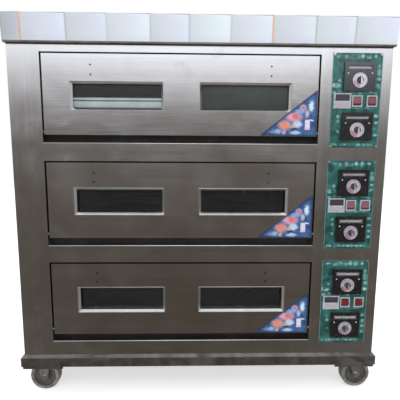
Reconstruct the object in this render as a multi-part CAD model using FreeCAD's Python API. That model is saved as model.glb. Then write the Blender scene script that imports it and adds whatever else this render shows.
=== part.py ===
"""Three-deck electric bakery oven, modelled in millimetres.

Frame: the origin is on the floor under the middle of the oven, +Z is up, the doors face -Y and the
controls are on the +X side.  The carcass stands on an angle-iron base frame with four swivel casters.
A left pillar, a control column and four rails make the front frame.  Each deck is a chamber liner
behind a drop-down door, with its controls in a panel on the column.
"""
import FreeCAD, Part
import math
import os

os.makedirs("parts", exist_ok=True)
Vec = FreeCAD.Vector

# ---------------------------------------------------------------- driving dimensions

# Carcass
BODY_W = 1220.0            # width over the side panels
BODY_D = 840.0             # depth from the front frame to the back panel
DECK_NAMES = ["lower", "middle", "upper"]
RAIL_H = 59.0              # rail between two decks
SHEET = 1.5                # stainless sheet
PAN_H = 21.0               # upturned edge of the floor pan
SILL_H = 37.0              # lowest rail
TOP_RAIL_H = 39.0          # highest rail, partly behind the crown
LEFT_PILLAR_W = 100.8
REAR_SPACE = 115.0         # behind the chambers
RETURN_D = 60.0            # depth of the folded returns behind the front frame
SIDE_RETURN_D = 40.0       # where the side panels start
HOLE_CLEARANCE = 0.2       # screw or bolt in a plain hole
PASS_CLEARANCE = 1.0       # pipe, lamp or case through a sheet

# Doors
DOOR_H = 251.0
DOOR_T = 40.0
DOOR_GAP_SIDE = 6.0
DOOR_GAP_TOP = 5.0
DOOR_GAP_BOTTOM = 25.0
SEAT_GAP = 5.0             # door inner pan to chamber flange
WINDOW_W = 296.5
WINDOW_H = 89.5
WINDOW_DROP = 83.0         # window top below the door top
WINDOW_FROM_MIDDLE = 57.7  # inner edge from the middle of the door
BEVEL_W = 7.0
BEVEL_D = 8.0
GLASS_SET = 20.0           # glass behind the door face
GLASS_T = 4.0
GLASS_LAP = 8.0            # glass hidden behind the bevel on each side
HANDLE_PITCH_X = 574.0     # handle screws, side to side
HANDLE_PITCH_Z = 30.0      # handle screws, up and down
HANDLE_DROP = 48.0         # middle of the screw rows below the door top
HANDLE_HOLE_R = 2.75

# Door hinges
PIN_R = 5.0
RUNNING_CLEARANCE = 0.05
PIVOT_UP = 10.0            # pin axis above the door's bottom edge
BUSH_L = 14.0
BUSH_H = 40.0
CARTRIDGE_R = 13.0
CARTRIDGE_L = 30.0
CARTRIDGE_WALL = 3.0
PIN_IN_CARTRIDGE = 18.0
HINGE_BLOCK_L = 28.0
HINGE_BLOCK_H = 24.0

# Chambers
CHAMBER_INSET = 10.0       # door edge outside the chamber wall
CHAMBER_FLOOR_UP = 24.0    # chamber floor above the door's bottom edge
CHAMBER_CEILING_DOWN = 12.0
HEARTH_T = 4.0
HEARTH_UP = 28.0           # underside of the hearth above the chamber floor
HEARTH_GAP = 4.0
INSULATION_T = 25.0
INSULATION_GAP = 2.0       # behind the front frame's returns
PARTITION_GAP = 8.0        # insulation to the bay partition

# Heating, lamps, probes, steam
ELEMENT_R = 4.0
ELEMENT_LEG_PITCH = 110.0
ELEMENTS_PER_SET = 3
ELEMENT_FROM_WALL = 14.0   # element axis from the chamber floor or ceiling
ELEMENT_TAIL = 30.0        # terminals behind the chamber's back wall
ELEMENT_FRONT_GAP = 45.0
LAMP_R = 18.0
LAMP_RIM_R = 24.0
LAMP_RIM_T = 4.0
LAMP_SETBACK = 120.0
LAMP_DROP = 72.0
LAMP_BODY_L = 58.0
PROBE_R = 3.0
PROBE_IN = 50.0
PROBE_OUT = 45.0
STEAM_R = 19.0
STEAM_WALL = 1.5
STEAM_FLANGE_R = 30.0
STEAM_FLANGE_T = 2.0
STEAM_REACH = 40.0         # pipe behind the back panel
STEAM_FROM_SIDE = 120.0
STEAM_DROP = 44.0

# Crown
CROWN_SIDE_PROUD = 4.0
CROWN_H = 85.0
CROWN_LAP = 15.0           # crown hangs below the carcass top
CROWN_FOOT_PROUD = 12.0    # in front of the front frame at its lower edge
CROWN_HEAD_PROUD = 20.0    # and at its upper edge
CROWN_D = 130.0
CLADDING_T = 1.2
CLADDING_WIDTHS = [58, 138, 127, 131, 122, 127, 131, 135, 125, 134]
CLADDING_FOOT = 5.0        # dark edge left below the plates
CLADDING_STEP = 2.2        # each plate's top edge falls this much

# Controls, each size as seen from the front
PANEL_T = 1.5
PANEL_LEFT_MARGIN = 37.0   # column edge to panel
PANEL_RIGHT_MARGIN = 31.5  # panel to body side
PANEL_RISE = 11.0          # panel top above the door top
PANEL_LAP = 8.0            # panel over the edge of the column cut-out
CASE_W = 100.0
CASE_H = 88.0
CASE_T = 8.0
CASE_LAP = 4.0
CASE_BODY_D = 70.0
CASE_HEAD_MARGIN = 30.0    # panel top to the upper case
CASE_FOOT_MARGIN = 24.0    # lower case to the panel bottom
CASE_RIGHT_MARGIN = 24.0
METER_W = 82.0
METER_H = 15.0
METER_DROP = 9.0
METER_D = 3.0
DIAL_R = 23.0
DIAL_T = 3.0
DIAL_DROP = 55.0
DIAL_RECESS_CLEARANCE = 2.0
DIAL_RECESS_D = 2.0
DIAL_FLOAT = 0.4
KNOB_R = 11.0
KNOB_H = 13.0
KNOB_GRIP_W = 6.0
KNOB_SKIRT_H = 4.0
SHAFT_R = 3.0
SHAFT_L = 15.0
TIMER_W = 56.0
TIMER_H = 48.0
TIMER_T = 5.0
TIMER_LAP = 3.0
TIMER_BODY_D = 55.0
TIMER_LEFT_MARGIN = 6.5
TIMER_HEAD_GAP = 7.0       # upper case to the timer
TIMER_FOOT_GAP = 13.0      # timer to the lower case
DISPLAY_MARGIN = 5.0
DISPLAY_HEAD = 4.0
DISPLAY_D = 1.5
KEY_COUNT = 4
KEY_PROUD = 0.6
KEY_DROP = 37.0            # middle of the keys below the timer's top
KEY_W = 8.0
KEY_H = 5.0
BEZEL_W = 34.0
BEZEL_H = 36.0
BEZEL_T = 2.5
BEZEL_LAP = 2.0
BEZEL_WALL = 2.0
BEZEL_BODY_D = 20.0
TIMER_TO_SWITCH = 4.5
SWITCH_GAP = 14.0
SWITCH_RIGHT_MARGIN = 11.0
ROCKER_GAP = 0.5
ROCKER_PIVOT_D = 7.0       # pivot behind the bezel's face
ROCKER_FACE = 9.0          # actuator face in front of the pivot
ROCKER_HEEL = 6.0
ROCKER_PIN_R = 1.5
ROCKER_TILT = 12.0         # degrees each side of centre
SCREW_R = 2.0
SCREW_HEAD_R = 4.0
SCREW_HEAD_H = 2.2
SCREW_L = 8.0
SCREW_INSET = 4.5
BACK_SCREW_INSET = 20.0
BACK_SCREWS_PER_EDGE = 5

# Electrical bay
RAIL_PLATE_T = 3.0
CONTACTOR_W = 45.0
CONTACTOR_H = 75.0
CONTACTOR_D = 80.0
CONTACTOR_GAP = 18.0
GLAND_R = 16.0
GLAND_BORE_R = 9.0
GLAND_NUT_R = 21.0
GLAND_NUT_T = 8.0
GLAND_REACH = 34.0
GLAND_FROM_SIDE = 90.0
GLAND_UP = 160.0
LOUVRE_L = 60.0
LOUVRE_SLOT = 8.0
LOUVRE_HOOD_H = 14.0
LOUVRE_PROUD = 6.0
LOUVRE_PITCH = 26.0
LOUVRE_GAP = 30.0
LOUVRE_ROWS = 9
LOUVRE_COLUMNS = 3

# Base frame and casters
ANGLE_LEG = 32.0
ANGLE_T = 4.0
FRAME_PROUD_X = 9.0
FRAME_PROUD_Y = 12.0
CORNER_L = 137.0
CORNER_D = 110.0
CORNER_T = 5.0
CORNER_LIP_T = 3.0
CORNER_LIP_DROP = 10.0     # lips hang below the angle iron
WHEEL_R = 51.0
WHEEL_W = 32.0
WHEEL_TO_FRAME = 4.0
CASTER_INSET_X = 49.0      # swivel axis inside the body side
CASTER_INSET_Y = 37.5      # swivel axis inside the body front and back
CASTER_TRAIL = 7.0
MOUNT_L = 100.0
MOUNT_W = 84.0
MOUNT_T = 3.0
MOUNT_PITCH_X = 76.0
MOUNT_PITCH_Y = 60.0
BOLT_R = 4.0
BOLT_HEAD_R = 7.0
BOLT_HEAD_H = 5.5
RACE_R = 25.0
RACE_H = 4.0
RACE_GAP = 0.3
FORK_TOP_HEEL = 22.0       # fork crown ahead of the swivel axis
FORK_TOP_TOE = 28.0        # and behind it, on the trailing side
FORK_CROWN_T = 4.0
FORK_CUP_H = 5.7
FORK_LEG_T = 3.0
FORK_SIDE_GAP = 2.5
KINGPIN_R = 6.0
KINGPIN_HEAD_R = 10.0
KINGPIN_HEAD_H = 4.0
KINGPIN_HEAD_GAP = 0.5
AXLE_R = 5.0
AXLE_HEAD_R = 8.0
AXLE_HEAD_H = 5.0
AXLE_EYE_R = 13.0
HUB_R = 16.0
HUB_GAP = 1.0
RIM_R = 39.0
WEB_RECESS = 7.0
TREAD_ROUND = 5.0

# ---------------------------------------------------------------- derived places

FRAME_BOTTOM = 2 * WHEEL_R + WHEEL_TO_FRAME
FRAME_TOP = FRAME_BOTTOM + ANGLE_LEG
PAN_TOP = FRAME_TOP + PAN_H
SILL_TOP = PAN_TOP + SILL_H
DECK_COUNT = len(DECK_NAMES)
DECK_PITCH = DOOR_GAP_BOTTOM + DOOR_H + DOOR_GAP_TOP + RAIL_H
TOP_RAIL_Z = SILL_TOP + (DECK_COUNT - 1) * DECK_PITCH + DOOR_GAP_BOTTOM + DOOR_H + DOOR_GAP_TOP
BODY_TOP = TOP_RAIL_Z + TOP_RAIL_H
CROWN_BOTTOM = BODY_TOP - CROWN_LAP
CROWN_TOP = CROWN_BOTTOM + CROWN_H

DIAL_REACH = PANEL_T + CASE_T - DIAL_RECESS_D + DIAL_FLOAT + DIAL_T + KNOB_H
FRONT_REACH = max(DIAL_REACH, CROWN_HEAD_PROUD + CLADDING_T, FRAME_PROUD_Y)
REAR_REACH = max(STEAM_REACH, GLAND_REACH, FRAME_PROUD_Y)
FRONT = -(FRONT_REACH + BODY_D + REAR_REACH) / 2 + FRONT_REACH   # face of the front frame
BACK = FRONT + BODY_D

TIMER_X = TIMER_LEFT_MARGIN
TIMER_DROP = CASE_HEAD_MARGIN + CASE_H + TIMER_HEAD_GAP
BEZEL_DROP = TIMER_DROP + (TIMER_H - BEZEL_H) / 2
LAMP_SWITCH_X = TIMER_X + TIMER_W + TIMER_TO_SWITCH
POWER_SWITCH_X = LAMP_SWITCH_X + BEZEL_W + SWITCH_GAP
SWITCH_X = {"lamp": LAMP_SWITCH_X, "power": POWER_SWITCH_X}
PANEL_W = POWER_SWITCH_X + BEZEL_W + SWITCH_RIGHT_MARGIN
CASE_X = PANEL_W - CASE_RIGHT_MARGIN - CASE_W
CASE_DROPS = {"upper": CASE_HEAD_MARGIN, "lower": TIMER_DROP + TIMER_H + TIMER_FOOT_GAP}
PANEL_H = CASE_DROPS["lower"] + CASE_H + CASE_FOOT_MARGIN
COLUMN_W = PANEL_LEFT_MARGIN + PANEL_W + PANEL_RIGHT_MARGIN

SIDE = BODY_W / 2
OPENING_LEFT = -SIDE + LEFT_PILLAR_W
OPENING_RIGHT = SIDE - COLUMN_W
DOOR_W = OPENING_RIGHT - OPENING_LEFT - 2 * DOOR_GAP_SIDE
DOOR_X = (OPENING_LEFT + OPENING_RIGHT) / 2
PIVOT_Y = FRONT + DOOR_T / 2
FLANGE_Y = FRONT + DOOR_T + SEAT_GAP
GLASS_W = WINDOW_W - 2 * BEVEL_W
GLASS_H = WINDOW_H - 2 * BEVEL_W
WINDOW_X = WINDOW_FROM_MIDDLE + WINDOW_W / 2
WINDOW_Z = DOOR_H - WINDOW_DROP - WINDOW_H / 2

CHAMBER_LEFT = DOOR_X - DOOR_W / 2 + CHAMBER_INSET
CHAMBER_RIGHT = DOOR_X + DOOR_W / 2 - CHAMBER_INSET
CHAMBER_BACK = BACK - REAR_SPACE
CHAMBER_DEPTH = CHAMBER_BACK - FLANGE_Y
CHAMBER_H = DOOR_H - CHAMBER_FLOOR_UP - CHAMBER_CEILING_DOWN
INSULATION_FRONT = FRONT + RETURN_D + INSULATION_GAP
INSULATION_BACK = CHAMBER_BACK + SHEET + INSULATION_T
PARTITION_X = CHAMBER_RIGHT + SHEET + INSULATION_T + PARTITION_GAP

PANEL_LEFT = OPENING_RIGHT + PANEL_LEFT_MARGIN
PANEL_FACE = FRONT - PANEL_T


def door_bottom(deck):
    """Height of a door's bottom edge; deck 0 is the lowest."""
    return SILL_TOP + deck * DECK_PITCH + DOOR_GAP_BOTTOM


def panel_top(deck):
    return door_bottom(deck) + DOOR_H + PANEL_RISE


# ---------------------------------------------------------------- shape helpers

def box(x0, x1, y0, y1, z0, z1):
    return Part.makeBox(x1 - x0, y1 - y0, z1 - z0, Vec(x0, y0, z0))


def rod(axis, centre, radius, start, end):
    """Cylinder along X, Y or Z; centre gives the other two coordinates in order."""
    a, b = centre
    base, direction = {
        "x": (Vec(start, a, b), Vec(1, 0, 0)),
        "y": (Vec(a, start, b), Vec(0, 1, 0)),
        "z": (Vec(a, b, start), Vec(0, 0, 1)),
    }[axis]
    return Part.makeCylinder(radius, end - start, base, direction)


def prism(points, vector):
    """A closed outline of points swept along a vector."""
    corners = [Vec(*point) for point in points]
    return Part.Face(Part.makePolygon(corners + corners[:1])).extrude(Vec(*vector))


def join(shapes):
    shapes = list(shapes)
    fused = shapes[0].fuse(shapes[1:]) if len(shapes) > 1 else shapes[0]
    return fused.removeSplitter()


def drill(shape, tools):
    tools = list(tools)
    return shape.cut(tools) if tools else shape


def moved(shape, x=0.0, y=0.0, z=0.0):
    copy = shape.copy()
    copy.translate(Vec(x, y, z))
    return copy


def mirrored_x(shape, x=0.0):
    return shape.mirror(Vec(x, 0, 0), Vec(1, 0, 0))


def window_wire(width, height, y):
    """Rectangle in the XZ plane about the window's centre, at depth y."""
    half_w = width / 2
    half_h = height / 2
    corners = [(-half_w, -half_h), (half_w, -half_h), (half_w, half_h), (-half_w, half_h)]
    points = [Vec(x, y, z) for x, z in corners]
    return Part.makePolygon(points + points[:1])


def export(name, shapes):
    solids = [solid for shape in shapes for solid in shape.Solids]
    for solid in solids:
        if not solid.isValid():
            raise RuntimeError(f"{name} has an invalid solid")
    body = solids[0] if len(solids) == 1 else Part.makeCompound(solids)
    body.exportStep(f"parts/{name}.step")


# ---------------------------------------------------------------- base frame and casters

FRAME_X = SIDE + FRAME_PROUD_X
FRAME_FRONT = FRONT - FRAME_PROUD_Y
FRAME_BACK = BACK + FRAME_PROUD_Y
CORNER_TOP = FRAME_TOP - ANGLE_T
CORNER_BOTTOM = CORNER_TOP - CORNER_T
CASTER_X = SIDE - CASTER_INSET_X
CASTER_PLACES = {
    "front_left": (-CASTER_X, FRONT + CASTER_INSET_Y),
    "front_right": (CASTER_X, FRONT + CASTER_INSET_Y),
    "rear_left": (-CASTER_X, BACK - CASTER_INSET_Y),
    "rear_right": (CASTER_X, BACK - CASTER_INSET_Y),
}
MOUNT_HOLES = [(sx * MOUNT_PITCH_X / 2, sy * MOUNT_PITCH_Y / 2) for sx in (-1, 1) for sy in (-1, 1)]


def base_frame():
    """Ring of angle iron with a welded corner plate over each caster."""
    outer = box(-FRAME_X, FRAME_X, FRAME_FRONT, FRAME_BACK, FRAME_BOTTOM, FRAME_TOP)
    inside_leg = box(-FRAME_X + ANGLE_T, FRAME_X - ANGLE_T, FRAME_FRONT + ANGLE_T, FRAME_BACK - ANGLE_T,
                     FRAME_BOTTOM, CORNER_TOP)
    inside_flange = box(-FRAME_X + ANGLE_LEG, FRAME_X - ANGLE_LEG, FRAME_FRONT + ANGLE_LEG,
                        FRAME_BACK - ANGLE_LEG, CORNER_TOP, FRAME_TOP)
    corner_x = FRAME_X - ANGLE_T
    lip_bottom = FRAME_BOTTOM - CORNER_LIP_DROP
    corners = []
    for y_edge, inward in ((FRAME_FRONT + ANGLE_T, 1), (FRAME_BACK - ANGLE_T, -1)):
        y0, y1 = sorted((y_edge, y_edge + inward * CORNER_D))
        lip0, lip1 = sorted((y_edge, y_edge + inward * CORNER_LIP_T))
        plate = box(-corner_x, -corner_x + CORNER_L, y0, y1, CORNER_BOTTOM, CORNER_TOP)
        lip = box(-corner_x, -corner_x + CORNER_L, lip0, lip1, lip_bottom, CORNER_BOTTOM)
        side_lip = box(-corner_x, -corner_x + CORNER_LIP_T, y0, y1, lip_bottom, CORNER_BOTTOM)
        left = join([plate, lip, side_lip])
        corners += [left, mirrored_x(left)]
    frame = join([outer.cut([inside_leg, inside_flange])] + corners)
    holes = [rod("z", (x + hx, y + hy), BOLT_R + HOLE_CLEARANCE, CORNER_BOTTOM, CORNER_TOP)
             for x, y in CASTER_PLACES.values() for hx, hy in MOUNT_HOLES]
    return drill(frame, holes)


PLATE_BOTTOM = CORNER_BOTTOM - MOUNT_T
RACE_BOTTOM = PLATE_BOTTOM - RACE_H
CUP_TOP = RACE_BOTTOM - RACE_GAP
FORK_TOP = CUP_TOP - FORK_CUP_H
FORK_BOTTOM = FORK_TOP - FORK_CROWN_T
LEG_IN = WHEEL_W / 2 + FORK_SIDE_GAP
LEG_OUT = LEG_IN + FORK_LEG_T


def caster_plate():
    """Top plate with its four bolts, lower race and kingpin, about the swivel axis."""
    plate = box(-MOUNT_L / 2, MOUNT_L / 2, -MOUNT_W / 2, MOUNT_W / 2, PLATE_BOTTOM, CORNER_BOTTOM)
    race = rod("z", (0, 0), RACE_R, RACE_BOTTOM, PLATE_BOTTOM)
    head_top = FORK_BOTTOM - KINGPIN_HEAD_GAP
    kingpin = rod("z", (0, 0), KINGPIN_R, head_top - KINGPIN_HEAD_H, RACE_BOTTOM)
    head = rod("z", (0, 0), KINGPIN_HEAD_R, head_top - KINGPIN_HEAD_H, head_top)
    shanks = [rod("z", hole, BOLT_R, CORNER_BOTTOM, CORNER_TOP) for hole in MOUNT_HOLES]
    heads = [rod("z", hole, BOLT_HEAD_R, PLATE_BOTTOM - BOLT_HEAD_H, PLATE_BOTTOM) for hole in MOUNT_HOLES]
    return join([plate, race, kingpin, head] + shanks + heads)


def caster_fork():
    """Swivel fork about the swivel axis, trailing towards +X, and its axle bolt."""
    crown = box(-FORK_TOP_HEEL, FORK_TOP_TOE, -LEG_OUT, LEG_OUT, FORK_BOTTOM, FORK_TOP)
    cup = rod("z", (0, 0), RACE_R + 1, FORK_TOP, CUP_TOP)
    outline = [(-FORK_TOP_HEEL, LEG_IN, FORK_TOP), (FORK_TOP_TOE, LEG_IN, FORK_TOP),
               (CASTER_TRAIL + AXLE_EYE_R, LEG_IN, WHEEL_R), (CASTER_TRAIL - AXLE_EYE_R, LEG_IN, WHEEL_R)]
    leg = join([prism(outline, (0, FORK_LEG_T, 0)),
                rod("y", (CASTER_TRAIL, WHEEL_R), AXLE_EYE_R, LEG_IN, LEG_OUT)])
    far_leg = leg.mirror(Vec(0, 0, 0), Vec(0, 1, 0))
    fork = join([crown, cup, leg, far_leg])
    bore = rod("z", (0, 0), KINGPIN_R + RUNNING_CLEARANCE, FORK_BOTTOM, CUP_TOP)
    eyes = rod("y", (CASTER_TRAIL, WHEEL_R), AXLE_R + HOLE_CLEARANCE, -LEG_OUT, LEG_OUT)
    fork = drill(fork, [bore, eyes])
    tip = LEG_OUT + AXLE_HEAD_H
    axle = join([rod("y", (CASTER_TRAIL, WHEEL_R), AXLE_R, -tip, tip),
                 rod("y", (CASTER_TRAIL, WHEEL_R), AXLE_HEAD_R, -tip, -LEG_OUT),
                 rod("y", (CASTER_TRAIL, WHEEL_R), AXLE_HEAD_R, LEG_OUT, tip)])
    return [fork, axle]


def caster_wheel():
    """Wheel about the swivel axis of its fork."""
    centre = (CASTER_TRAIL, WHEEL_R)
    tyre = rod("y", centre, WHEEL_R, -WHEEL_W / 2, WHEEL_W / 2)
    rims = [edge for edge in tyre.Edges if abs(edge.Length - 2 * math.pi * WHEEL_R) < 0.01]
    tyre = tyre.makeFillet(TREAD_ROUND, rims)
    recesses = [rod("y", centre, RIM_R, -WHEEL_W / 2, -WHEEL_W / 2 + WEB_RECESS),
                rod("y", centre, RIM_R, WHEEL_W / 2 - WEB_RECESS, WHEEL_W / 2)]
    hub_half = LEG_IN - HUB_GAP
    hub = rod("y", centre, HUB_R, -hub_half, hub_half)
    wheel = join([tyre.cut(recesses), hub])
    return drill(wheel, [rod("y", centre, AXLE_R + RUNNING_CLEARANCE, -hub_half, hub_half)])


# ---------------------------------------------------------------- carcass

COLUMN_CUT_X = (PANEL_LEFT + PANEL_LAP, PANEL_LEFT + PANEL_W - PANEL_LAP)
BUSH_X_LEFT = OPENING_LEFT - SHEET
BUSH_X_RIGHT = OPENING_RIGHT + SHEET
SCREW_CORNERS = [(x, z) for x in (SCREW_INSET, PANEL_W - SCREW_INSET)
                 for z in (SCREW_INSET, PANEL_H - SCREW_INSET)]


def floor_pan():
    pan = box(-SIDE, SIDE, FRONT, BACK, FRAME_TOP, PAN_TOP)
    inside = box(-SIDE + SHEET, SIDE - SHEET, FRONT + SHEET, BACK - SHEET, FRAME_TOP + SHEET, PAN_TOP)
    return pan.cut(inside)


def pin_holes(x0, x1):
    """Clearance holes for the door pins through one upright return."""
    return [rod("x", (PIVOT_Y, door_bottom(deck) + PIVOT_UP), PIN_R + PASS_CLEARANCE, x0, x1)
            for deck in range(DECK_COUNT)]


def upright(x0, x1, outer_is_left):
    """Channel with one deep return beside the doors and one shallow return at the body side."""
    face = box(x0, x1, FRONT, FRONT + SHEET, PAN_TOP, BODY_TOP)
    left_depth, right_depth = (SIDE_RETURN_D, RETURN_D) if outer_is_left else (RETURN_D, SIDE_RETURN_D)
    left = box(x0, x0 + SHEET, FRONT, FRONT + left_depth, PAN_TOP, BODY_TOP)
    right = box(x1 - SHEET, x1, FRONT, FRONT + right_depth, PAN_TOP, BODY_TOP)
    return join([face, left, right])


def left_pillar():
    pillar = upright(-SIDE, OPENING_LEFT, True)
    return drill(pillar, pin_holes(OPENING_LEFT - SHEET, OPENING_LEFT))


def control_column():
    column = upright(OPENING_RIGHT, SIDE, False)
    tools = pin_holes(OPENING_RIGHT, OPENING_RIGHT + SHEET)
    for deck in range(DECK_COUNT):
        top = panel_top(deck)
        tools.append(box(*COLUMN_CUT_X, FRONT, FRONT + SHEET, top - PANEL_H + PANEL_LAP, top - PANEL_LAP))
        tools += [rod("y", (PANEL_LEFT + x, top - z), SCREW_R + HOLE_CLEARANCE, FRONT, FRONT + SHEET)
                  for x, z in SCREW_CORNERS]
    return drill(column, tools)


def deck_rail(z0, z1):
    face = box(OPENING_LEFT, OPENING_RIGHT, FRONT, FRONT + SHEET, z0, z1)
    low = box(OPENING_LEFT, OPENING_RIGHT, FRONT, FRONT + RETURN_D, z0, z0 + SHEET)
    high = box(OPENING_LEFT, OPENING_RIGHT, FRONT, FRONT + RETURN_D, z1 - SHEET, z1)
    return join([face, low, high])


def deck_rails():
    rails = [deck_rail(PAN_TOP, SILL_TOP)]
    for deck in range(DECK_COUNT - 1):
        door_top = door_bottom(deck) + DOOR_H
        rails.append(deck_rail(door_top + DOOR_GAP_TOP, door_bottom(deck + 1) - DOOR_GAP_BOTTOM))
    rails.append(deck_rail(TOP_RAIL_Z, BODY_TOP))
    return rails


def side_panel(x0, x1):
    return box(x0, x1, FRONT + SIDE_RETURN_D, BACK, PAN_TOP, BODY_TOP)


def louvre(y, z):
    """Slot in the right side panel and the pressed hood over it."""
    inset = SHEET
    slot = box(SIDE - SHEET, SIDE, y + inset, y + LOUVRE_L - inset, z, z + LOUVRE_SLOT)
    outer = [(SIDE, y, z), (SIDE + LOUVRE_PROUD, y, z), (SIDE, y, z + LOUVRE_HOOD_H)]
    inner = [(SIDE, y + inset, z), (SIDE + LOUVRE_PROUD - inset, y + inset, z),
             (SIDE, y + inset, z + LOUVRE_HOOD_H - 2 * inset)]
    hood = prism(outer, (0, LOUVRE_L, 0)).cut(prism(inner, (0, LOUVRE_L - 2 * inset, 0)))
    return slot, hood


def right_side_panel():
    panel = side_panel(SIDE - SHEET, SIDE)
    pitch_y = LOUVRE_L + LOUVRE_GAP
    first_y = (FRONT + BACK) / 2 - (LOUVRE_COLUMNS - 1) * pitch_y / 2
    slots = []
    hoods = []
    for deck in (0, DECK_COUNT - 1):
        for column in range(LOUVRE_COLUMNS):
            for row in range(LOUVRE_ROWS):
                slot, hood = louvre(first_y + column * pitch_y, door_bottom(deck) + row * LOUVRE_PITCH)
                slots.append(slot)
                hoods.append(hood)
    return join([panel.cut(slots)] + hoods)


def top_panel():
    return box(-SIDE, SIDE, FRONT, BACK, BODY_TOP, BODY_TOP + SHEET)


STEAM_X = CHAMBER_LEFT + STEAM_FROM_SIDE
GLAND_X = SIDE - GLAND_FROM_SIDE
GLAND_Z = PAN_TOP + GLAND_UP


def steam_z(deck):
    return door_bottom(deck) + CHAMBER_FLOOR_UP + CHAMBER_H - STEAM_DROP


def back_screw_places():
    span_x = BODY_W - 2 * BACK_SCREW_INSET
    span_z = BODY_TOP - PAN_TOP - 2 * BACK_SCREW_INSET
    steps = [index / (BACK_SCREWS_PER_EDGE - 1) for index in range(BACK_SCREWS_PER_EDGE)]
    xs = [-SIDE + BACK_SCREW_INSET + step * span_x for step in steps]
    zs = [PAN_TOP + BACK_SCREW_INSET + step * span_z for step in steps]
    rows = [(x, z) for x in xs for z in (zs[0], zs[-1])]
    sides = [(x, z) for x in (xs[0], xs[-1]) for z in zs[1:-1]]
    return rows + sides


def back_panel():
    panel = box(-SIDE + SHEET, SIDE - SHEET, BACK - SHEET, BACK, PAN_TOP, BODY_TOP)
    holes = [rod("y", (STEAM_X, steam_z(deck)), STEAM_R + HOLE_CLEARANCE, BACK - SHEET, BACK)
             for deck in range(DECK_COUNT)]
    holes.append(rod("y", (GLAND_X, GLAND_Z), GLAND_R + HOLE_CLEARANCE, BACK - SHEET, BACK))
    holes += [rod("y", place, SCREW_R + HOLE_CLEARANCE, BACK - SHEET, BACK) for place in back_screw_places()]
    return drill(panel, holes)


def bay_partition():
    """Upright sheet between the baking compartment and the electrical bay."""
    front = FRONT + RETURN_D
    web = box(PARTITION_X, PARTITION_X + SHEET, front, BACK - SHEET, PAN_TOP, BODY_TOP)
    flange = box(OPENING_RIGHT, PARTITION_X, front, front + SHEET, PAN_TOP, BODY_TOP)
    holes = [rod("x", lamp_centre(deck), LAMP_R + PASS_CLEARANCE, PARTITION_X, PARTITION_X + SHEET)
             for deck in range(DECK_COUNT)]
    return drill(join([web, flange]), holes)


# ---------------------------------------------------------------- crown

def crown_section(inset):
    """Outline of the crown in the YZ plane, shrunk by the sheet thickness for the inside."""
    lean = (CROWN_HEAD_PROUD - CROWN_FOOT_PROUD) / CROWN_H
    foot_z = CROWN_BOTTOM + inset
    head_z = CROWN_TOP - inset
    foot_y = FRONT - CROWN_FOOT_PROUD - lean * inset + inset
    head_y = FRONT - CROWN_HEAD_PROUD + lean * inset + inset
    step_z = BODY_TOP + SHEET
    return [(foot_y, foot_z), (head_y, head_z), (FRONT + CROWN_D - inset, head_z),
            (FRONT + CROWN_D - inset, step_z), (FRONT, step_z), (FRONT, foot_z)]


def crown():
    """Header box that sits on the top panel and hangs in front of the top rail."""
    half = SIDE + CROWN_SIDE_PROUD
    outer = prism([(-half, y, z) for y, z in crown_section(0)], (2 * half, 0, 0))
    inner_half = half - SHEET
    inner = prism([(-inner_half, y, z) for y, z in crown_section(SHEET)], (2 * inner_half, 0, 0))
    return outer.cut(inner)


def crown_cladding():
    """Plates side by side on the leaning face; each top edge falls a little to the right."""
    full = 2 * (SIDE + CROWN_SIDE_PROUD)
    scale = full / sum(CLADDING_WIDTHS)
    lean = (CROWN_HEAD_PROUD - CROWN_FOOT_PROUD) / CROWN_H
    plates = []
    left = -full / 2
    for width in CLADDING_WIDTHS:
        right = left + width * scale
        foot = CLADDING_FOOT
        head_left = CROWN_H
        head_right = CROWN_H - CLADDING_STEP
        outline = []
        for x, up in ((left, foot), (right, foot), (right, head_right), (left, head_left)):
            outline.append((x, FRONT - CROWN_FOOT_PROUD - lean * up, CROWN_BOTTOM + up))
        plates.append(prism(outline, (0, -CLADDING_T, 0)))
        left = right
    return plates


# ---------------------------------------------------------------- chambers

def lamp_centre(deck):
    top = door_bottom(deck) + CHAMBER_FLOOR_UP + CHAMBER_H
    return FLANGE_Y + LAMP_SETBACK, top - LAMP_DROP


def element_heights(deck):
    floor = door_bottom(deck) + CHAMBER_FLOOR_UP
    return floor + ELEMENT_FROM_WALL, floor + CHAMBER_H - ELEMENT_FROM_WALL


def element_centres():
    width = CHAMBER_RIGHT - CHAMBER_LEFT
    pitch = width / ELEMENTS_PER_SET
    return [CHAMBER_LEFT + pitch * (index + 0.5) for index in range(ELEMENTS_PER_SET)]


def probe_places(deck):
    low, high = element_heights(deck)
    x = CHAMBER_RIGHT - STEAM_FROM_SIDE
    offset = ELEMENT_FROM_WALL + HEARTH_UP
    return [(x, low + offset), (x, high - 2 * ELEMENT_FROM_WALL)]


def back_wall_holes(deck, clearance, y0, y1):
    """What passes through the back wall of a chamber: element tails, probes and the steam pipe."""
    tails = [(x + side * ELEMENT_LEG_PITCH / 2, z)
             for z in element_heights(deck) for x in element_centres() for side in (-1, 1)]
    holes = [rod("y", place, ELEMENT_R + clearance, y0, y1) for place in tails]
    holes += [rod("y", place, PROBE_R + clearance, y0, y1) for place in probe_places(deck)]
    holes.append(rod("y", (STEAM_X, steam_z(deck)), STEAM_R + clearance, y0, y1))
    return holes


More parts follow.
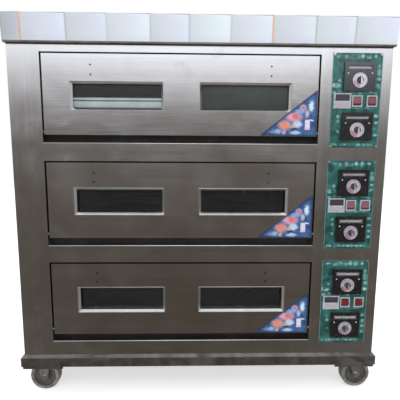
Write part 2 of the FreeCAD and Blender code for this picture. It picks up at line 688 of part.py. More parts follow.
def chamber(deck):
    """Liner of one deck, seam welded from floor, ceiling, side and back sheets and a front flange
    that closes the front frame's opening."""
    floor = door_bottom(deck) + CHAMBER_FLOOR_UP
    ceiling = floor + CHAMBER_H
    y0 = FLANGE_Y + SHEET
    y1 = CHAMBER_BACK + SHEET
    left = CHAMBER_LEFT - SHEET
    right = CHAMBER_RIGHT + SHEET
    flange = box(OPENING_LEFT, OPENING_RIGHT, FLANGE_Y, y0,
                 door_bottom(deck) - DOOR_GAP_BOTTOM, door_bottom(deck) + DOOR_H + DOOR_GAP_TOP)
    mouth = box(CHAMBER_LEFT, CHAMBER_RIGHT, FLANGE_Y, y0, floor, ceiling)
    sheets = [box(left, right, y0, y1, floor - SHEET, floor), box(left, right, y0, y1, ceiling, ceiling + SHEET)]
    left_wall = box(left, CHAMBER_LEFT, y0, y1, floor, ceiling)
    right_wall = box(CHAMBER_RIGHT, right, y0, y1, floor, ceiling)
    lamp_hole = rod("x", lamp_centre(deck), LAMP_R + HOLE_CLEARANCE, CHAMBER_RIGHT, right)
    back_wall = box(CHAMBER_LEFT, CHAMBER_RIGHT, CHAMBER_BACK, y1, floor, ceiling)
    holes = back_wall_holes(deck, HOLE_CLEARANCE, CHAMBER_BACK, y1)
    return sheets + [flange.cut(mouth), left_wall, drill(right_wall, [lamp_hole]), drill(back_wall, holes)]


def hearth_plate(deck):
    """Baking plate on two bearers that stand on the chamber floor."""
    floor = door_bottom(deck) + CHAMBER_FLOOR_UP
    left = CHAMBER_LEFT + HEARTH_GAP
    right = CHAMBER_RIGHT - HEARTH_GAP
    y0 = FLANGE_Y + HEARTH_GAP
    y1 = CHAMBER_BACK - HEARTH_GAP
    under = floor + HEARTH_UP
    plate = box(left, right, y0, y1, under, under + HEARTH_T)
    bearers = [box(x, x + HEARTH_T, y0, y1, floor, under) for x in (left, right - HEARTH_T)]
    return join([plate] + bearers)


def heating_element(x, z):
    """Hairpin tube: two legs along Y joined by a half circle at the front."""
    bend_r = ELEMENT_LEG_PITCH / 2
    bend_y = FLANGE_Y + ELEMENT_FRONT_GAP + bend_r
    tail = CHAMBER_BACK + ELEMENT_TAIL
    left = Vec(x - bend_r, bend_y, z)
    right = Vec(x + bend_r, bend_y, z)
    front = Vec(x, bend_y - bend_r, z)
    path = Part.Wire([Part.LineSegment(Vec(x - bend_r, tail, z), left).toShape(),
                      Part.Arc(left, front, right).toShape(),
                      Part.LineSegment(right, Vec(x + bend_r, tail, z)).toShape()])
    section = Part.Wire(Part.makeCircle(ELEMENT_R, Vec(x - bend_r, tail, z), Vec(0, 1, 0)))
    return path.makePipeShell([section], True, False)


def insulation(deck):
    """Wool blanket round the top, bottom, sides and back of one chamber."""
    floor = door_bottom(deck) + CHAMBER_FLOOR_UP
    low = floor - SHEET
    high = floor + CHAMBER_H + SHEET
    left = CHAMBER_LEFT - SHEET
    right = CHAMBER_RIGHT + SHEET
    blanket = box(left - INSULATION_T, right + INSULATION_T, INSULATION_FRONT, INSULATION_BACK,
                  low - INSULATION_T, high + INSULATION_T)
    core = box(left, right, INSULATION_FRONT, CHAMBER_BACK + SHEET, low, high)
    lamp_hole = rod("x", lamp_centre(deck), LAMP_R + PASS_CLEARANCE, right, right + INSULATION_T)
    holes = back_wall_holes(deck, PASS_CLEARANCE, CHAMBER_BACK + SHEET, INSULATION_BACK)
    return drill(blanket, [core, lamp_hole] + holes)


def chamber_lamp(deck):
    centre = lamp_centre(deck)
    rim = rod("x", centre, LAMP_RIM_R, CHAMBER_RIGHT - LAMP_RIM_T, CHAMBER_RIGHT)
    body = rod("x", centre, LAMP_R, CHAMBER_RIGHT, CHAMBER_RIGHT + LAMP_BODY_L)
    return join([rim, body])


def temperature_probe(place):
    return rod("y", place, PROBE_R, CHAMBER_BACK - PROBE_IN, CHAMBER_BACK + PROBE_OUT)


def steam_outlet(deck):
    centre = (STEAM_X, steam_z(deck))
    pipe = rod("y", centre, STEAM_R, CHAMBER_BACK, BACK + STEAM_REACH)
    flange = rod("y", centre, STEAM_FLANGE_R, BACK, BACK + STEAM_FLANGE_T)
    bore = rod("y", centre, STEAM_R - STEAM_WALL, CHAMBER_BACK, BACK + STEAM_REACH)
    return join([pipe, flange]).cut(bore)


# ---------------------------------------------------------------- doors

def door_window_centres():
    return [(side * WINDOW_X, WINDOW_Z) for side in (-1, 1)]


def window_port(width_gain):
    """Bevel and sleeve of a window as one solid, grown by width_gain on each side."""
    grow = 2 * width_gain
    bevel = Part.makeLoft([window_wire(WINDOW_W + grow, WINDOW_H + grow, 0),
                           window_wire(GLASS_W + grow, GLASS_H + grow, BEVEL_D)], True, True)
    half_w = GLASS_W / 2 + width_gain
    half_h = GLASS_H / 2 + width_gain
    sleeve = box(-half_w, half_w, BEVEL_D, GLASS_SET, -half_h, half_h)
    return join([bevel, sleeve])


def handle_hole_places():
    row = DOOR_H - HANDLE_DROP
    return [(sx * HANDLE_PITCH_X / 2, row + sz * HANDLE_PITCH_Z / 2) for sx in (-1, 1) for sz in (-1, 1)]


def door_skin():
    """Outer pan in door coordinates: X from the middle, Y from the face, Z from the bottom edge."""
    half = DOOR_W / 2
    rear = DOOR_T - SHEET
    tray = box(-half, half, 0, rear, 0, DOOR_H)
    hollow = box(-half + SHEET, half - SHEET, SHEET, rear, SHEET, DOOR_H - SHEET)
    ports = [moved(window_port(SHEET), x, 0, z) for x, z in door_window_centres()]
    openings = [moved(window_port(0), x, 0, z) for x, z in door_window_centres()]
    pins = rod("x", (DOOR_T / 2, PIVOT_UP), PIN_R + HOLE_CLEARANCE, -half, half)
    pins = pins.cut(box(-half + SHEET, half - SHEET, 0, rear, 0, DOOR_H))
    handle = [rod("y", place, HANDLE_HOLE_R, 0, SHEET) for place in handle_hole_places()]
    return drill(join([tray.cut(hollow)] + ports), openings + [pins] + handle)


def door_inner_pan():
    """Inner pan with the window sleeves that clamp the glass, and the welded pivot pins."""
    half = DOOR_W / 2
    plate = box(-half, half, DOOR_T - SHEET, DOOR_T, 0, DOOR_H)
    sleeves = []
    openings = []
    for x, z in door_window_centres():
        sleeves.append(box(x - GLASS_W / 2 - SHEET, x + GLASS_W / 2 + SHEET, GLASS_SET + GLASS_T, DOOR_T,
                           z - GLASS_H / 2 - SHEET, z + GLASS_H / 2 + SHEET))
        openings.append(box(x - GLASS_W / 2, x + GLASS_W / 2, GLASS_SET + GLASS_T, DOOR_T,
                            z - GLASS_H / 2, z + GLASS_H / 2))
    block = box(-half + SHEET, -half + SHEET + HINGE_BLOCK_L, DOOR_T / 2 - 2 * PIN_R, DOOR_T - SHEET,
                SHEET, HINGE_BLOCK_H)
    reach = DOOR_GAP_SIDE + SHEET + BUSH_L + PIN_IN_CARTRIDGE
    pin = rod("x", (DOOR_T / 2, PIVOT_UP), PIN_R, -half - reach, -half + SHEET)
    hinge = join([block, pin])
    return drill(join([plate, hinge, mirrored_x(hinge)] + sleeves), openings)


def door_glass():
    return [box(x - GLASS_W / 2 - GLASS_LAP, x + GLASS_W / 2 + GLASS_LAP, GLASS_SET, GLASS_SET + GLASS_T,
                z - GLASS_H / 2 - GLASS_LAP, z + GLASS_H / 2 + GLASS_LAP)
            for x, z in door_window_centres()]


def hinge_bracket(deck):
    """Bush block and spring cartridge behind the left pillar's return; the right one is its mirror."""
    z = door_bottom(deck) + PIVOT_UP
    block_x = BUSH_X_LEFT - BUSH_L
    block = box(block_x, BUSH_X_LEFT, FRONT + SHEET, FRONT + RETURN_D - SHEET, z - BUSH_H / 2, z + BUSH_H / 2)
    cartridge = rod("x", (PIVOT_Y, z), CARTRIDGE_R, block_x - CARTRIDGE_L, block_x)
    cavity = rod("x", (PIVOT_Y, z), CARTRIDGE_R - CARTRIDGE_WALL, block_x - CARTRIDGE_L + CARTRIDGE_WALL,
                 block_x)
    bore = rod("x", (PIVOT_Y, z), PIN_R + RUNNING_CLEARANCE, block_x, BUSH_X_LEFT)
    left = drill(join([block, cartridge]), [cavity, bore])
    return [left, mirrored_x(left, DOOR_X)]


# ---------------------------------------------------------------- controls
# Control pieces are drawn in panel coordinates: X from the panel's left edge, Z down from its top
# as a negative number, Y from the front frame's face.

FACE = -PANEL_T            # panel face in panel coordinates


def on_panel(shape, deck):
    return moved(shape, PANEL_LEFT, FRONT, panel_top(deck))


def control_panel():
    plate = box(0, PANEL_W, FACE, 0, -PANEL_H, 0)
    tools = []
    for drop in CASE_DROPS.values():
        tools.append(box(CASE_X + CASE_LAP - PASS_CLEARANCE, CASE_X + CASE_W - CASE_LAP + PASS_CLEARANCE, FACE, 0,
                         -drop - CASE_H + CASE_LAP - PASS_CLEARANCE, -drop - CASE_LAP + PASS_CLEARANCE))
    tools.append(box(TIMER_X + TIMER_LAP - PASS_CLEARANCE, TIMER_X + TIMER_W - TIMER_LAP + PASS_CLEARANCE, FACE, 0,
                     -TIMER_DROP - TIMER_H + TIMER_LAP - PASS_CLEARANCE,
                     -TIMER_DROP - TIMER_LAP + PASS_CLEARANCE))
    for x in SWITCH_X.values():
        tools.append(box(x + BEZEL_LAP - HOLE_CLEARANCE, x + BEZEL_W - BEZEL_LAP + HOLE_CLEARANCE, FACE, 0,
                         -BEZEL_DROP - BEZEL_H + BEZEL_LAP - HOLE_CLEARANCE,
                         -BEZEL_DROP - BEZEL_LAP + HOLE_CLEARANCE))
    tools += [rod("y", (x, -z), SCREW_R + HOLE_CLEARANCE, FACE, 0) for x, z in SCREW_CORNERS]
    return drill(plate, tools)


def dial_centre(drop):
    return CASE_X + CASE_W / 2, -drop - DIAL_DROP


def controller_case(drop):
    """Front bezel with a meter window and a dial recess, and the body behind the panel."""
    face = FACE - CASE_T
    bezel = box(CASE_X, CASE_X + CASE_W, face, FACE, -drop - CASE_H, -drop)
    body = box(CASE_X + CASE_LAP, CASE_X + CASE_W - CASE_LAP, FACE, CASE_BODY_D,
               -drop - CASE_H + CASE_LAP, -drop - CASE_LAP)
    centre = dial_centre(drop)
    meter_x = CASE_X + (CASE_W - METER_W) / 2
    meter = box(meter_x, meter_x + METER_W, face, face + METER_D, -drop - METER_DROP - METER_H,
                -drop - METER_DROP)
    recess = rod("y", centre, DIAL_R + DIAL_RECESS_CLEARANCE, face, face + DIAL_RECESS_D)
    bore = rod("y", centre, SHAFT_R + RUNNING_CLEARANCE, face, face + DIAL_RECESS_D + SHAFT_L + 1)
    return drill(join([bezel, body]), [meter, recess, bore])


def controller_dial(drop):
    """Scale disc, knob with a grip bar, and the shaft that turns in the case."""
    centre = dial_centre(drop)
    x, z = centre
    back = FACE - CASE_T + DIAL_RECESS_D - DIAL_FLOAT
    front = back - DIAL_T
    disc = rod("y", centre, DIAL_R, front, back)
    shaft = rod("y", centre, SHAFT_R, back, back + SHAFT_L)
    skirt = rod("y", centre, KNOB_R, front - KNOB_SKIRT_H, front)
    grip = box(x - KNOB_GRIP_W / 2, x + KNOB_GRIP_W / 2, front - KNOB_H, front, z - KNOB_R, z + KNOB_R)
    grip = grip.common(rod("y", centre, KNOB_R, front - KNOB_H, front))
    return join([disc, shaft, skirt, grip])


def timer():
    """Bezel with a display window above a row of four membrane keys, and the body behind."""
    face = FACE - TIMER_T
    bezel = box(TIMER_X, TIMER_X + TIMER_W, face, FACE, -TIMER_DROP - TIMER_H, -TIMER_DROP)
    body = box(TIMER_X + TIMER_LAP, TIMER_X + TIMER_W - TIMER_LAP, FACE, TIMER_BODY_D,
               -TIMER_DROP - TIMER_H + TIMER_LAP, -TIMER_DROP - TIMER_LAP)
    window_x = TIMER_X + DISPLAY_MARGIN
    display = box(window_x, TIMER_X + TIMER_W - DISPLAY_MARGIN, face, face + DISPLAY_D,
                  -TIMER_DROP - TIMER_H / 2, -TIMER_DROP - DISPLAY_HEAD)
    pitch = (TIMER_W - 2 * DISPLAY_MARGIN) / KEY_COUNT
    key_z = -TIMER_DROP - KEY_DROP
    keys = []
    for index in range(KEY_COUNT):
        key_x = window_x + pitch * (index + 0.5)
        keys.append(box(key_x - KEY_W / 2, key_x + KEY_W / 2, face - KEY_PROUD, face,
                        key_z - KEY_H / 2, key_z + KEY_H / 2))
    return join([drill(join([bezel, body]), [display])] + keys)


def rocker_pivot(x):
    return FACE - BEZEL_T + ROCKER_PIVOT_D, x + BEZEL_W / 2, -BEZEL_DROP - BEZEL_H / 2


def switch_bezel(x):
    """Snap-in frame with an open pocket for the rocker and pivot holes in its side walls."""
    face = FACE - BEZEL_T
    z1 = -BEZEL_DROP
    z0 = z1 - BEZEL_H
    frame = box(x, x + BEZEL_W, face, FACE, z0, z1)
    body = box(x + BEZEL_LAP, x + BEZEL_W - BEZEL_LAP, FACE, face + BEZEL_BODY_D + BEZEL_WALL,
               z0 + BEZEL_LAP, z1 - BEZEL_LAP)
    edge = BEZEL_LAP + BEZEL_WALL
    pocket = box(x + edge, x + BEZEL_W - edge, face, face + BEZEL_BODY_D, z0 + edge, z1 - edge)
    y, _, z = rocker_pivot(x)
    pins = rod("x", (y, z), ROCKER_PIN_R + RUNNING_CLEARANCE, x + BEZEL_LAP, x + BEZEL_W - BEZEL_LAP)
    return drill(join([frame, body]), [pocket, pins])


def rocker(x):
    """Rocker actuator, tipped to its off position about the pivot pins."""
    y, middle, z = rocker_pivot(x)
    edge = BEZEL_LAP + BEZEL_WALL + ROCKER_GAP
    radius = BEZEL_H / 2 - edge
    drum = rod("x", (y, z), radius, x + edge, x + BEZEL_W - edge)
    keep = box(x, x + BEZEL_W, y - ROCKER_FACE, y + ROCKER_HEEL, z - radius, z + radius)
    pins = rod("x", (y, z), ROCKER_PIN_R, x + edge - BEZEL_WALL, x + BEZEL_W - edge + BEZEL_WALL)
    body = join([drum.common(keep), pins])
    body.rotate(Vec(middle, y, z), Vec(1, 0, 0), -ROCKER_TILT)
    return body


def screw(place, face_y, direction):
    """Pan-head screw in a sheet; direction is -1 for a head that faces the front, +1 for the back."""
    head = sorted((face_y, face_y + direction * SCREW_HEAD_H))
    shank = sorted((face_y, face_y - direction * SCREW_L))
    return join([rod("y", place, SCREW_HEAD_R, *head), rod("y", place, SCREW_R, *shank)])


def panel_screws():
    screws = [screw((PANEL_LEFT + x, panel_top(deck) - z), PANEL_FACE, -1)
              for deck in range(DECK_COUNT) for x, z in SCREW_CORNERS]
    return screws + [screw(place, BACK, 1) for place in back_screw_places()]


# ---------------------------------------------------------------- electrical bay

def contactors():
    """One contactor per deck on a mounting plate on the bay side of the partition."""
    x0 = PARTITION_X + SHEET
    x1 = x0 + RAIL_PLATE_T
    middle_y = (FRONT + BACK) / 2
    pitch = CONTACTOR_W + CONTACTOR_GAP
    half = pitch * (DECK_COUNT - 1) / 2
    z0 = door_bottom(DECK_COUNT // 2)
    plate = box(x0, x1, middle_y - half - CONTACTOR_W, middle_y + half + CONTACTOR_W, z0,
                z0 + 2 * CONTACTOR_H)
    blocks = []
    for index in range(DECK_COUNT):
        y = middle_y - half + index * pitch
        low = z0 + CONTACTOR_H / 2
        base = box(x1, x1 + CONTACTOR_D * 0.6, y - CONTACTOR_W / 2, y + CONTACTOR_W / 2, low, low + CONTACTOR_H)
        nose = box(x1, x1 + CONTACTOR_D, y - CONTACTOR_W / 2, y + CONTACTOR_W / 2,
                   low + CONTACTOR_H * 0.25, low + CONTACTOR_H * 0.75)
        blocks.append(join([base, nose]))
    return [plate] + blocks


def cable_gland():
    """Gland for the supply cable: threaded body, outer nut, inner locknut and a through bore."""
    centre = (GLAND_X, GLAND_Z)
    inner = BACK - SHEET - GLAND_NUT_T
    body = rod("y", centre, GLAND_R, inner, BACK + GLAND_REACH)
    nut = rod("y", centre, GLAND_NUT_R, BACK, BACK + GLAND_NUT_T)
    locknut = rod("y", centre, GLAND_NUT_R, inner, BACK - SHEET)
    bore = rod("y", centre, GLAND_BORE_R, inner, BACK + GLAND_REACH)
    return join([body, nut, locknut]).cut(bore)


# ---------------------------------------------------------------- write the parts

def write_structure():
    export("base_frame", [base_frame()])
    export("caster_plates", [moved(caster_plate(), x, y) for x, y in CASTER_PLACES.values()])
    export("floor_pan", [floor_pan()])
    export("left_side_panel", [side_panel(-SIDE, -SIDE + SHEET)])
    export("right_side_panel", [right_side_panel()])
    export("back_panel", [back_panel()])
    export("top_panel", [top_panel()])
    export("crown", [crown()])
    export("crown_cladding", crown_cladding())
    export("left_pillar", [left_pillar()])
    export("control_column", [control_column()])
    export("deck_rails", deck_rails())
    export("bay_partition", [bay_partition()])


def write_decks():
    decks = range(DECK_COUNT)
    for deck, name in enumerate(DECK_NAMES):
        export(f"{name}_chamber", chamber(deck))
    export("hearth_plates", [hearth_plate(deck) for deck in decks])
    export("heating_elements", [heating_element(x, z) for deck in decks for z in element_heights(deck)
                                for x in element_centres()])
    export("insulation", [insulation(deck) for deck in decks])
    export("chamber_lamps", [chamber_lamp(deck) for deck in decks])
    export("temperature_probes", [temperature_probe(place) for deck in decks for place in probe_places(deck)])
    export("steam_outlets", [steam_outlet(deck) for deck in decks])
    export("hinge_brackets", [bracket for deck in decks for bracket in hinge_bracket(deck)])
    export("contactors", contactors())
    export("cable_gland", [cable_gland()])


def write_doors():
    skin = door_skin()
    inner = door_inner_pan()
    glass = door_glass()
    for deck, name in enumerate(DECK_NAMES):
        place = (DOOR_X, FRONT, door_bottom(deck))
        export(f"{name}_door_skin", [moved(skin, *place)])
        export(f"{name}_door_inner_pan", [moved(inner, *place)])
        export(f"{name}_door_glass", [moved(pane, *place) for pane in glass])


def write_controls():
    decks = range(DECK_COUNT)
    drops = CASE_DROPS.values()
    export("control_panels", [on_panel(control_panel(), deck) for deck in decks])
    export("controller_cases", [on_panel(controller_case(drop), deck) for deck in decks for drop in drops])
    export("timers", [on_panel(timer(), deck) for deck in decks])
    export("switch_bezels", [on_panel(switch_bezel(x), deck) for deck in decks for x in SWITCH_X.values()])
    export("panel_screws", panel_screws())
    for deck, name in enumerate(DECK_NAMES):
        for which, drop in CASE_DROPS.items():
            export(f"{name}_deck_{which}_heat_dial", [on_panel(controller_dial(drop), deck)])
        for which, x in SWITCH_X.items():
            export(f"{name}_deck_{which}_rocker", [on_panel(rocker(x), deck)])


def write_casters():
    fork = caster_fork()
    wheel = caster_wheel()
    for name, (x, y) in CASTER_PLACES.items():
        export(f"{name}_caster_fork", [moved(piece, x, y) for piece in fork])
        export(f"{name}_caster_wheel", [moved(wheel, x, y)])


write_structure()
write_decks()
write_doors()
write_controls()
write_casters()
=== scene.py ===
# %% [markdown]
# # A three-deck bakery oven
# The oven is a folded stainless carcass on four casters, with three drop-down doors and a column of
# controls. The metalwork arrives as a fixed frame of finished parts. This lesson gives every part its
# finish, adds the printed, glazed and stuck-on details, and sets the light and the camera.

# %% Load the frame
import math
import bpy
from mathutils import Matrix, Vector


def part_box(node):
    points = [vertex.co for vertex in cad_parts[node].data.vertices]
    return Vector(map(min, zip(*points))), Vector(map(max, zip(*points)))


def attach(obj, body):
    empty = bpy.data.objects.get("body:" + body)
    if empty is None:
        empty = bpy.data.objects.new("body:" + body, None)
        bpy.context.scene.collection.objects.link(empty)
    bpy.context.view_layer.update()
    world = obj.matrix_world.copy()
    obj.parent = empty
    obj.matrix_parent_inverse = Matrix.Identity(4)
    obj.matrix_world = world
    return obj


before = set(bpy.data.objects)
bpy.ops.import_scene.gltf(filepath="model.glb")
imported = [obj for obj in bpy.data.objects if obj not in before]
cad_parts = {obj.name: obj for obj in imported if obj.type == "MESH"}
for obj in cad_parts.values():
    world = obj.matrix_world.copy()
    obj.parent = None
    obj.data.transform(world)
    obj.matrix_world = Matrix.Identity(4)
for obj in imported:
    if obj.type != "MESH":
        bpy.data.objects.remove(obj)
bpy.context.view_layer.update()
DECKS = ["upper", "middle", "lower"]
CASES = ["upper", "lower"]
MM = 0.001

# %% [markdown]
# ## Where things are
# Every later size starts from the boxes of the frame's own parts, so the details follow if the oven
# changes. The decks repeat at one pitch, so a pattern worked out on the top deck fits the other two.

# %% Measure the frame
door_low, door_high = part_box("upper_door_skin")
panel_low, panel_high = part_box("control_panels")
DECK_PITCH = door_low.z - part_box("middle_door_skin")[0].z
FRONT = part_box("deck_rails")[0].y
print("deck pitch", round(DECK_PITCH, 3), "front face at y", round(FRONT, 4))

# %% [markdown]
# ## The camera
# The oven is seen from straight ahead, a little above its middle, and from near, so the verticals lean in
# towards the floor. A short lens close by gives that lean; a long lens would draw the oven as a plain
# rectangle.

# %% Place the camera
SIDEWAYS, BACK, HEIGHT = -0.0295, 1.1846, 0.848
turn, tip, lean = (math.radians(angle) for angle in (-1.29, 7.58, 0.32))
camera = bpy.data.objects.new("camera", bpy.data.cameras.new("camera"))
bpy.context.collection.objects.link(camera)
camera.data.lens = 32.4
camera.data.sensor_width = 36.0
camera.data.clip_start = 0.01
camera.matrix_world = (Matrix.Translation((SIDEWAYS, FRONT - BACK, HEIGHT)) @ Matrix.Rotation(turn, 4, "Z")
                       @ Matrix.Rotation(math.pi / 2 - tip, 4, "X") @ Matrix.Rotation(lean, 4, "Z"))
bpy.context.scene.camera = camera
print("camera at", [round(v, 3) for v in camera.matrix_world.translation])

# %% [markdown]
# ## Writing a material as sums
# A material is a tree of nodes. Long trees are easier to read as sums, so a wire stands for one value on
# its way through the tree, and adding or multiplying wires makes the Math nodes. Every other node comes
# from one method, which makes the node, sets its settings, then fills its sockets with numbers or links.

# %% A wire and a finish
class Wire:
    """One value in a material, which can be used in sums."""

    def __init__(self, finish, socket):
        self.finish, self.socket = finish, socket

    def sum(self, how, first, second):
        return self.finish.node("Math", {"operation": how}, {0: first, 1: second})

    def __add__(self, other):
        return self.sum("ADD", self, other)

    def __radd__(self, other):
        return self.sum("ADD", other, self)

    def __sub__(self, other):
        return self.sum("SUBTRACT", self, other)

    def __rsub__(self, other):
        return self.sum("SUBTRACT", other, self)

    def __mul__(self, other):
        return self.sum("MULTIPLY", self, other)

    def __rmul__(self, other):
        return self.sum("MULTIPLY", other, self)

    def __truediv__(self, other):
        return self.sum("DIVIDE", self, other)


class Finish:
    """The node tree of one material, or of the world."""

    def __init__(self, owner):
        owner.use_nodes = True
        self.owner, self.tree = owner, owner.node_tree
        self.tree.nodes.clear()

    def node(self, kind, settings, values, give=0):
        made = self.tree.nodes.new("ShaderNode" + kind)
        for name, setting in settings.items():
            if name == "stops":
                ramp = made.color_ramp
                while len(ramp.elements) < len(setting):
                    ramp.elements.new(1.0)
                for element, (place, colour) in zip(ramp.elements, setting):
                    element.position, element.color = place, colour
            else:
                setattr(made, name, setting)
        for name, value in values.items():
            if isinstance(value, Wire):
                self.tree.links.new(value.socket, made.inputs[name])
            else:
                made.inputs[name].default_value = value
        return Wire(self, made.outputs[give]) if len(made.outputs) else self.owner


def grey(value):
    return (value, value, value, 1.0)


print("wires and finishes ready")

# %% [markdown]
# ## Building blocks for patterns
# Most finishes need the same few patterns: cloudy noise, a soft step, a band, an oval, a ragged edge, and a
# mix of two colours. Patterns read the Object coordinates, which are metres on the oven, so a 2 mm mark is
# 2 mm wide on every part. MapRange makes the soft step, because its smooth slope needs no ramp and both its
# ends can be sums.

# %% Pattern helpers
def new_finish(name):
    return Finish(bpy.data.materials.new(name))


def metres(f):
    return f.node("TexCoord", {}, {}, "Object")


def axis(f, point, letter):
    return f.node("SeparateXYZ", {}, {0: point}, "XYZ".index(letter))


def stretched(f, point, scale):
    return f.node("Mapping", {}, {"Vector": point, "Scale": scale})


def noise(f, point, scale, detail=3.0, warp=0.0):
    return f.node("TexNoise", {}, {"Vector": point, "Scale": scale, "Detail": detail, "Distortion": warp})


def maths(f, how, *values):
    return f.node("Math", {"operation": how}, dict(enumerate(values)))


def vectors(f, how, *values):
    return f.node("VectorMath", {"operation": how}, dict(enumerate(values)))


def soft(f, value, low, high):
    """0 at low and 1 at high, with a smooth slope between; low may be the larger one."""
    ends = {0: value, 1: low, 2: high, 3: 0.0, 4: 1.0}
    return f.node("MapRange", {"interpolation_type": "SMOOTHSTEP"}, ends)


def band(f, value, low, high, edge):
    """0 outside low and high, 1 between them, with a slope as wide as edge inside each end."""
    return soft(f, value, low, low + edge) * soft(f, value, high, high - edge)


def oval(f, point, centre, reach, edge):
    """1 inside an oval, fading to 0 across its edge."""
    off = vectors(f, "DIVIDE", vectors(f, "SUBTRACT", point, centre), reach)
    return soft(f, f.node("VectorMath", {"operation": "LENGTH"}, {0: off}, "Value"), 1 + edge, 1 - edge)


def ragged(f, place, point, scale, reach):
    """A place pushed about by noise, which gives whatever is drawn there a ragged edge."""
    push = f.node("TexNoise", {}, {"Vector": point, "Scale": scale, "Detail": 3.0}, 1)
    push = f.node("VectorMath", {"operation": "SCALE"}, {0: push, "Scale": reach})
    return vectors(f, "ADD", place, push)


def round_middle(f, point, middle):
    """How far a point is to the right of, above and away from a middle, all seen from the front."""
    here = vectors(f, "SUBTRACT", point, middle)
    x, z = axis(f, here, "X"), axis(f, here, "Z")
    return x, z, maths(f, "SQRT", x * x + z * z)


def mix(f, first, second, share):
    return f.node("Mix", {"data_type": "RGBA", "clamp_factor": True}, {0: share, 6: first, 7: second}, 2)


def bump(f, height, strength, distance):
    return f.node("Bump", {}, {"Height": height, "Strength": strength, "Distance": distance}, "Normal")


def coat_with(f, values):
    """Ends a finish with its surface shader, and returns the material."""
    return f.node("OutputMaterial", {}, {"Surface": f.node("BsdfPrincipled", {}, values)})


print("pattern helpers ready")

# %% [markdown]
# ## Brushed stainless steel
# The carcass and the doors are stainless sheet with a brushed face: thousands of hairlines that run one
# way. The lines could be a displaced mesh, but they are a tenth of a millimetre deep, so noise squeezed
# along one axis is enough. It moves the colour, the roughness and a faint bump, and slow clouds of smears
# and water marks lie over it. Sheets are cut with the grain along their length, so every part says which
# way its grain runs.

# %% The brushed finish
ALONG_GRAIN, ACROSS_GRAIN = 0.9, 70.0


def brushed(name, grain, bright=(0.70, 0.685, 0.665, 1), dull=(0.56, 0.543, 0.525, 1), rough=0.19):
    f = new_finish(name)
    point = metres(f)
    squeeze = [ALONG_GRAIN if letter == grain else ACROSS_GRAIN for letter in "xyz"]
    lines = noise(f, stretched(f, point, squeeze), 9.0, 5.0)
    sheen = noise(f, stretched(f, point, [s * 0.25 for s in squeeze]), 1.4, 3.0)
    smear = noise(f, point, 5.5, 5.0, 1.3)
    marks = soft(f, noise(f, point, 17.0, 6.0, 0.6), 0.60, 0.74) * 0.5
    specks = soft(f, noise(f, point, 210.0, 1.0), 0.76, 0.83)
    tone = soft(f, lines * 0.25 + sheen * 0.35 + smear * 0.5, 0.32, 0.78)
    colour = mix(f, dull, bright, tone)
    colour = mix(f, colour, (0.36, 0.335, 0.30, 1), marks * 0.35)
    colour = mix(f, colour, (0.10, 0.085, 0.07, 1), specks * 0.55)
    roughness = lines * 0.10 + smear * 0.14 + marks * 0.12 + specks * 0.2 + (rough - 0.10)
    return coat_with(f, {"Base Color": colour, "Metallic": 1.0, "Roughness": roughness,
                         "Normal": bump(f, lines + smear * 0.8, 0.06, 0.0006)})


UPRIGHT = brushed("stainless_upright", "z")
LEVEL = brushed("stainless_level", "x")
DEEP = brushed("stainless_deep", "y", rough=0.24)
DOOR = brushed("stainless_door", "x", rough=0.17)
# The crown's steel is the same brushed steel made darker and duller: painted shade for the crown, whose
# downward-facing lip lies in shadow.
SHADED = brushed("stainless_painted_shade", "x", (0.40, 0.39, 0.38, 1), (0.26, 0.25, 0.245, 1), 0.26)
print("brushed finishes", [m.name for m in (UPRIGHT, LEVEL, DEEP, DOOR, SHADED)])

# %% [markdown]
# ## The crown's plates
# Ten thin plates clad the leaning header. They still have the milky film they were delivered in, so they
# are paler and less mirror-like than the bare steel, each plate a little different, and the narrow end
# plate the dullest. A stepped ramp along the oven gives each plate its own tone without a material for
# each. The ramp also paints light on each plate: dim at its left side and bright and bluish at its right,
# a painted shade and a painted highlight and reflection, and the plates darken towards their foot as
# painted shade.

# %% Pale filmed plates
SEAMS = [0.0, 0.0472, 0.1596, 0.2630, 0.3697, 0.4691, 0.5725, 0.6792, 0.7891, 0.8909, 1.0]  # of the width
TONES = [0.58, 0.80, 0.77, 0.82, 0.78, 0.83, 0.80, 0.77, 0.80, 0.83]
RUSTY = (SEAMS[1], SEAMS[7])


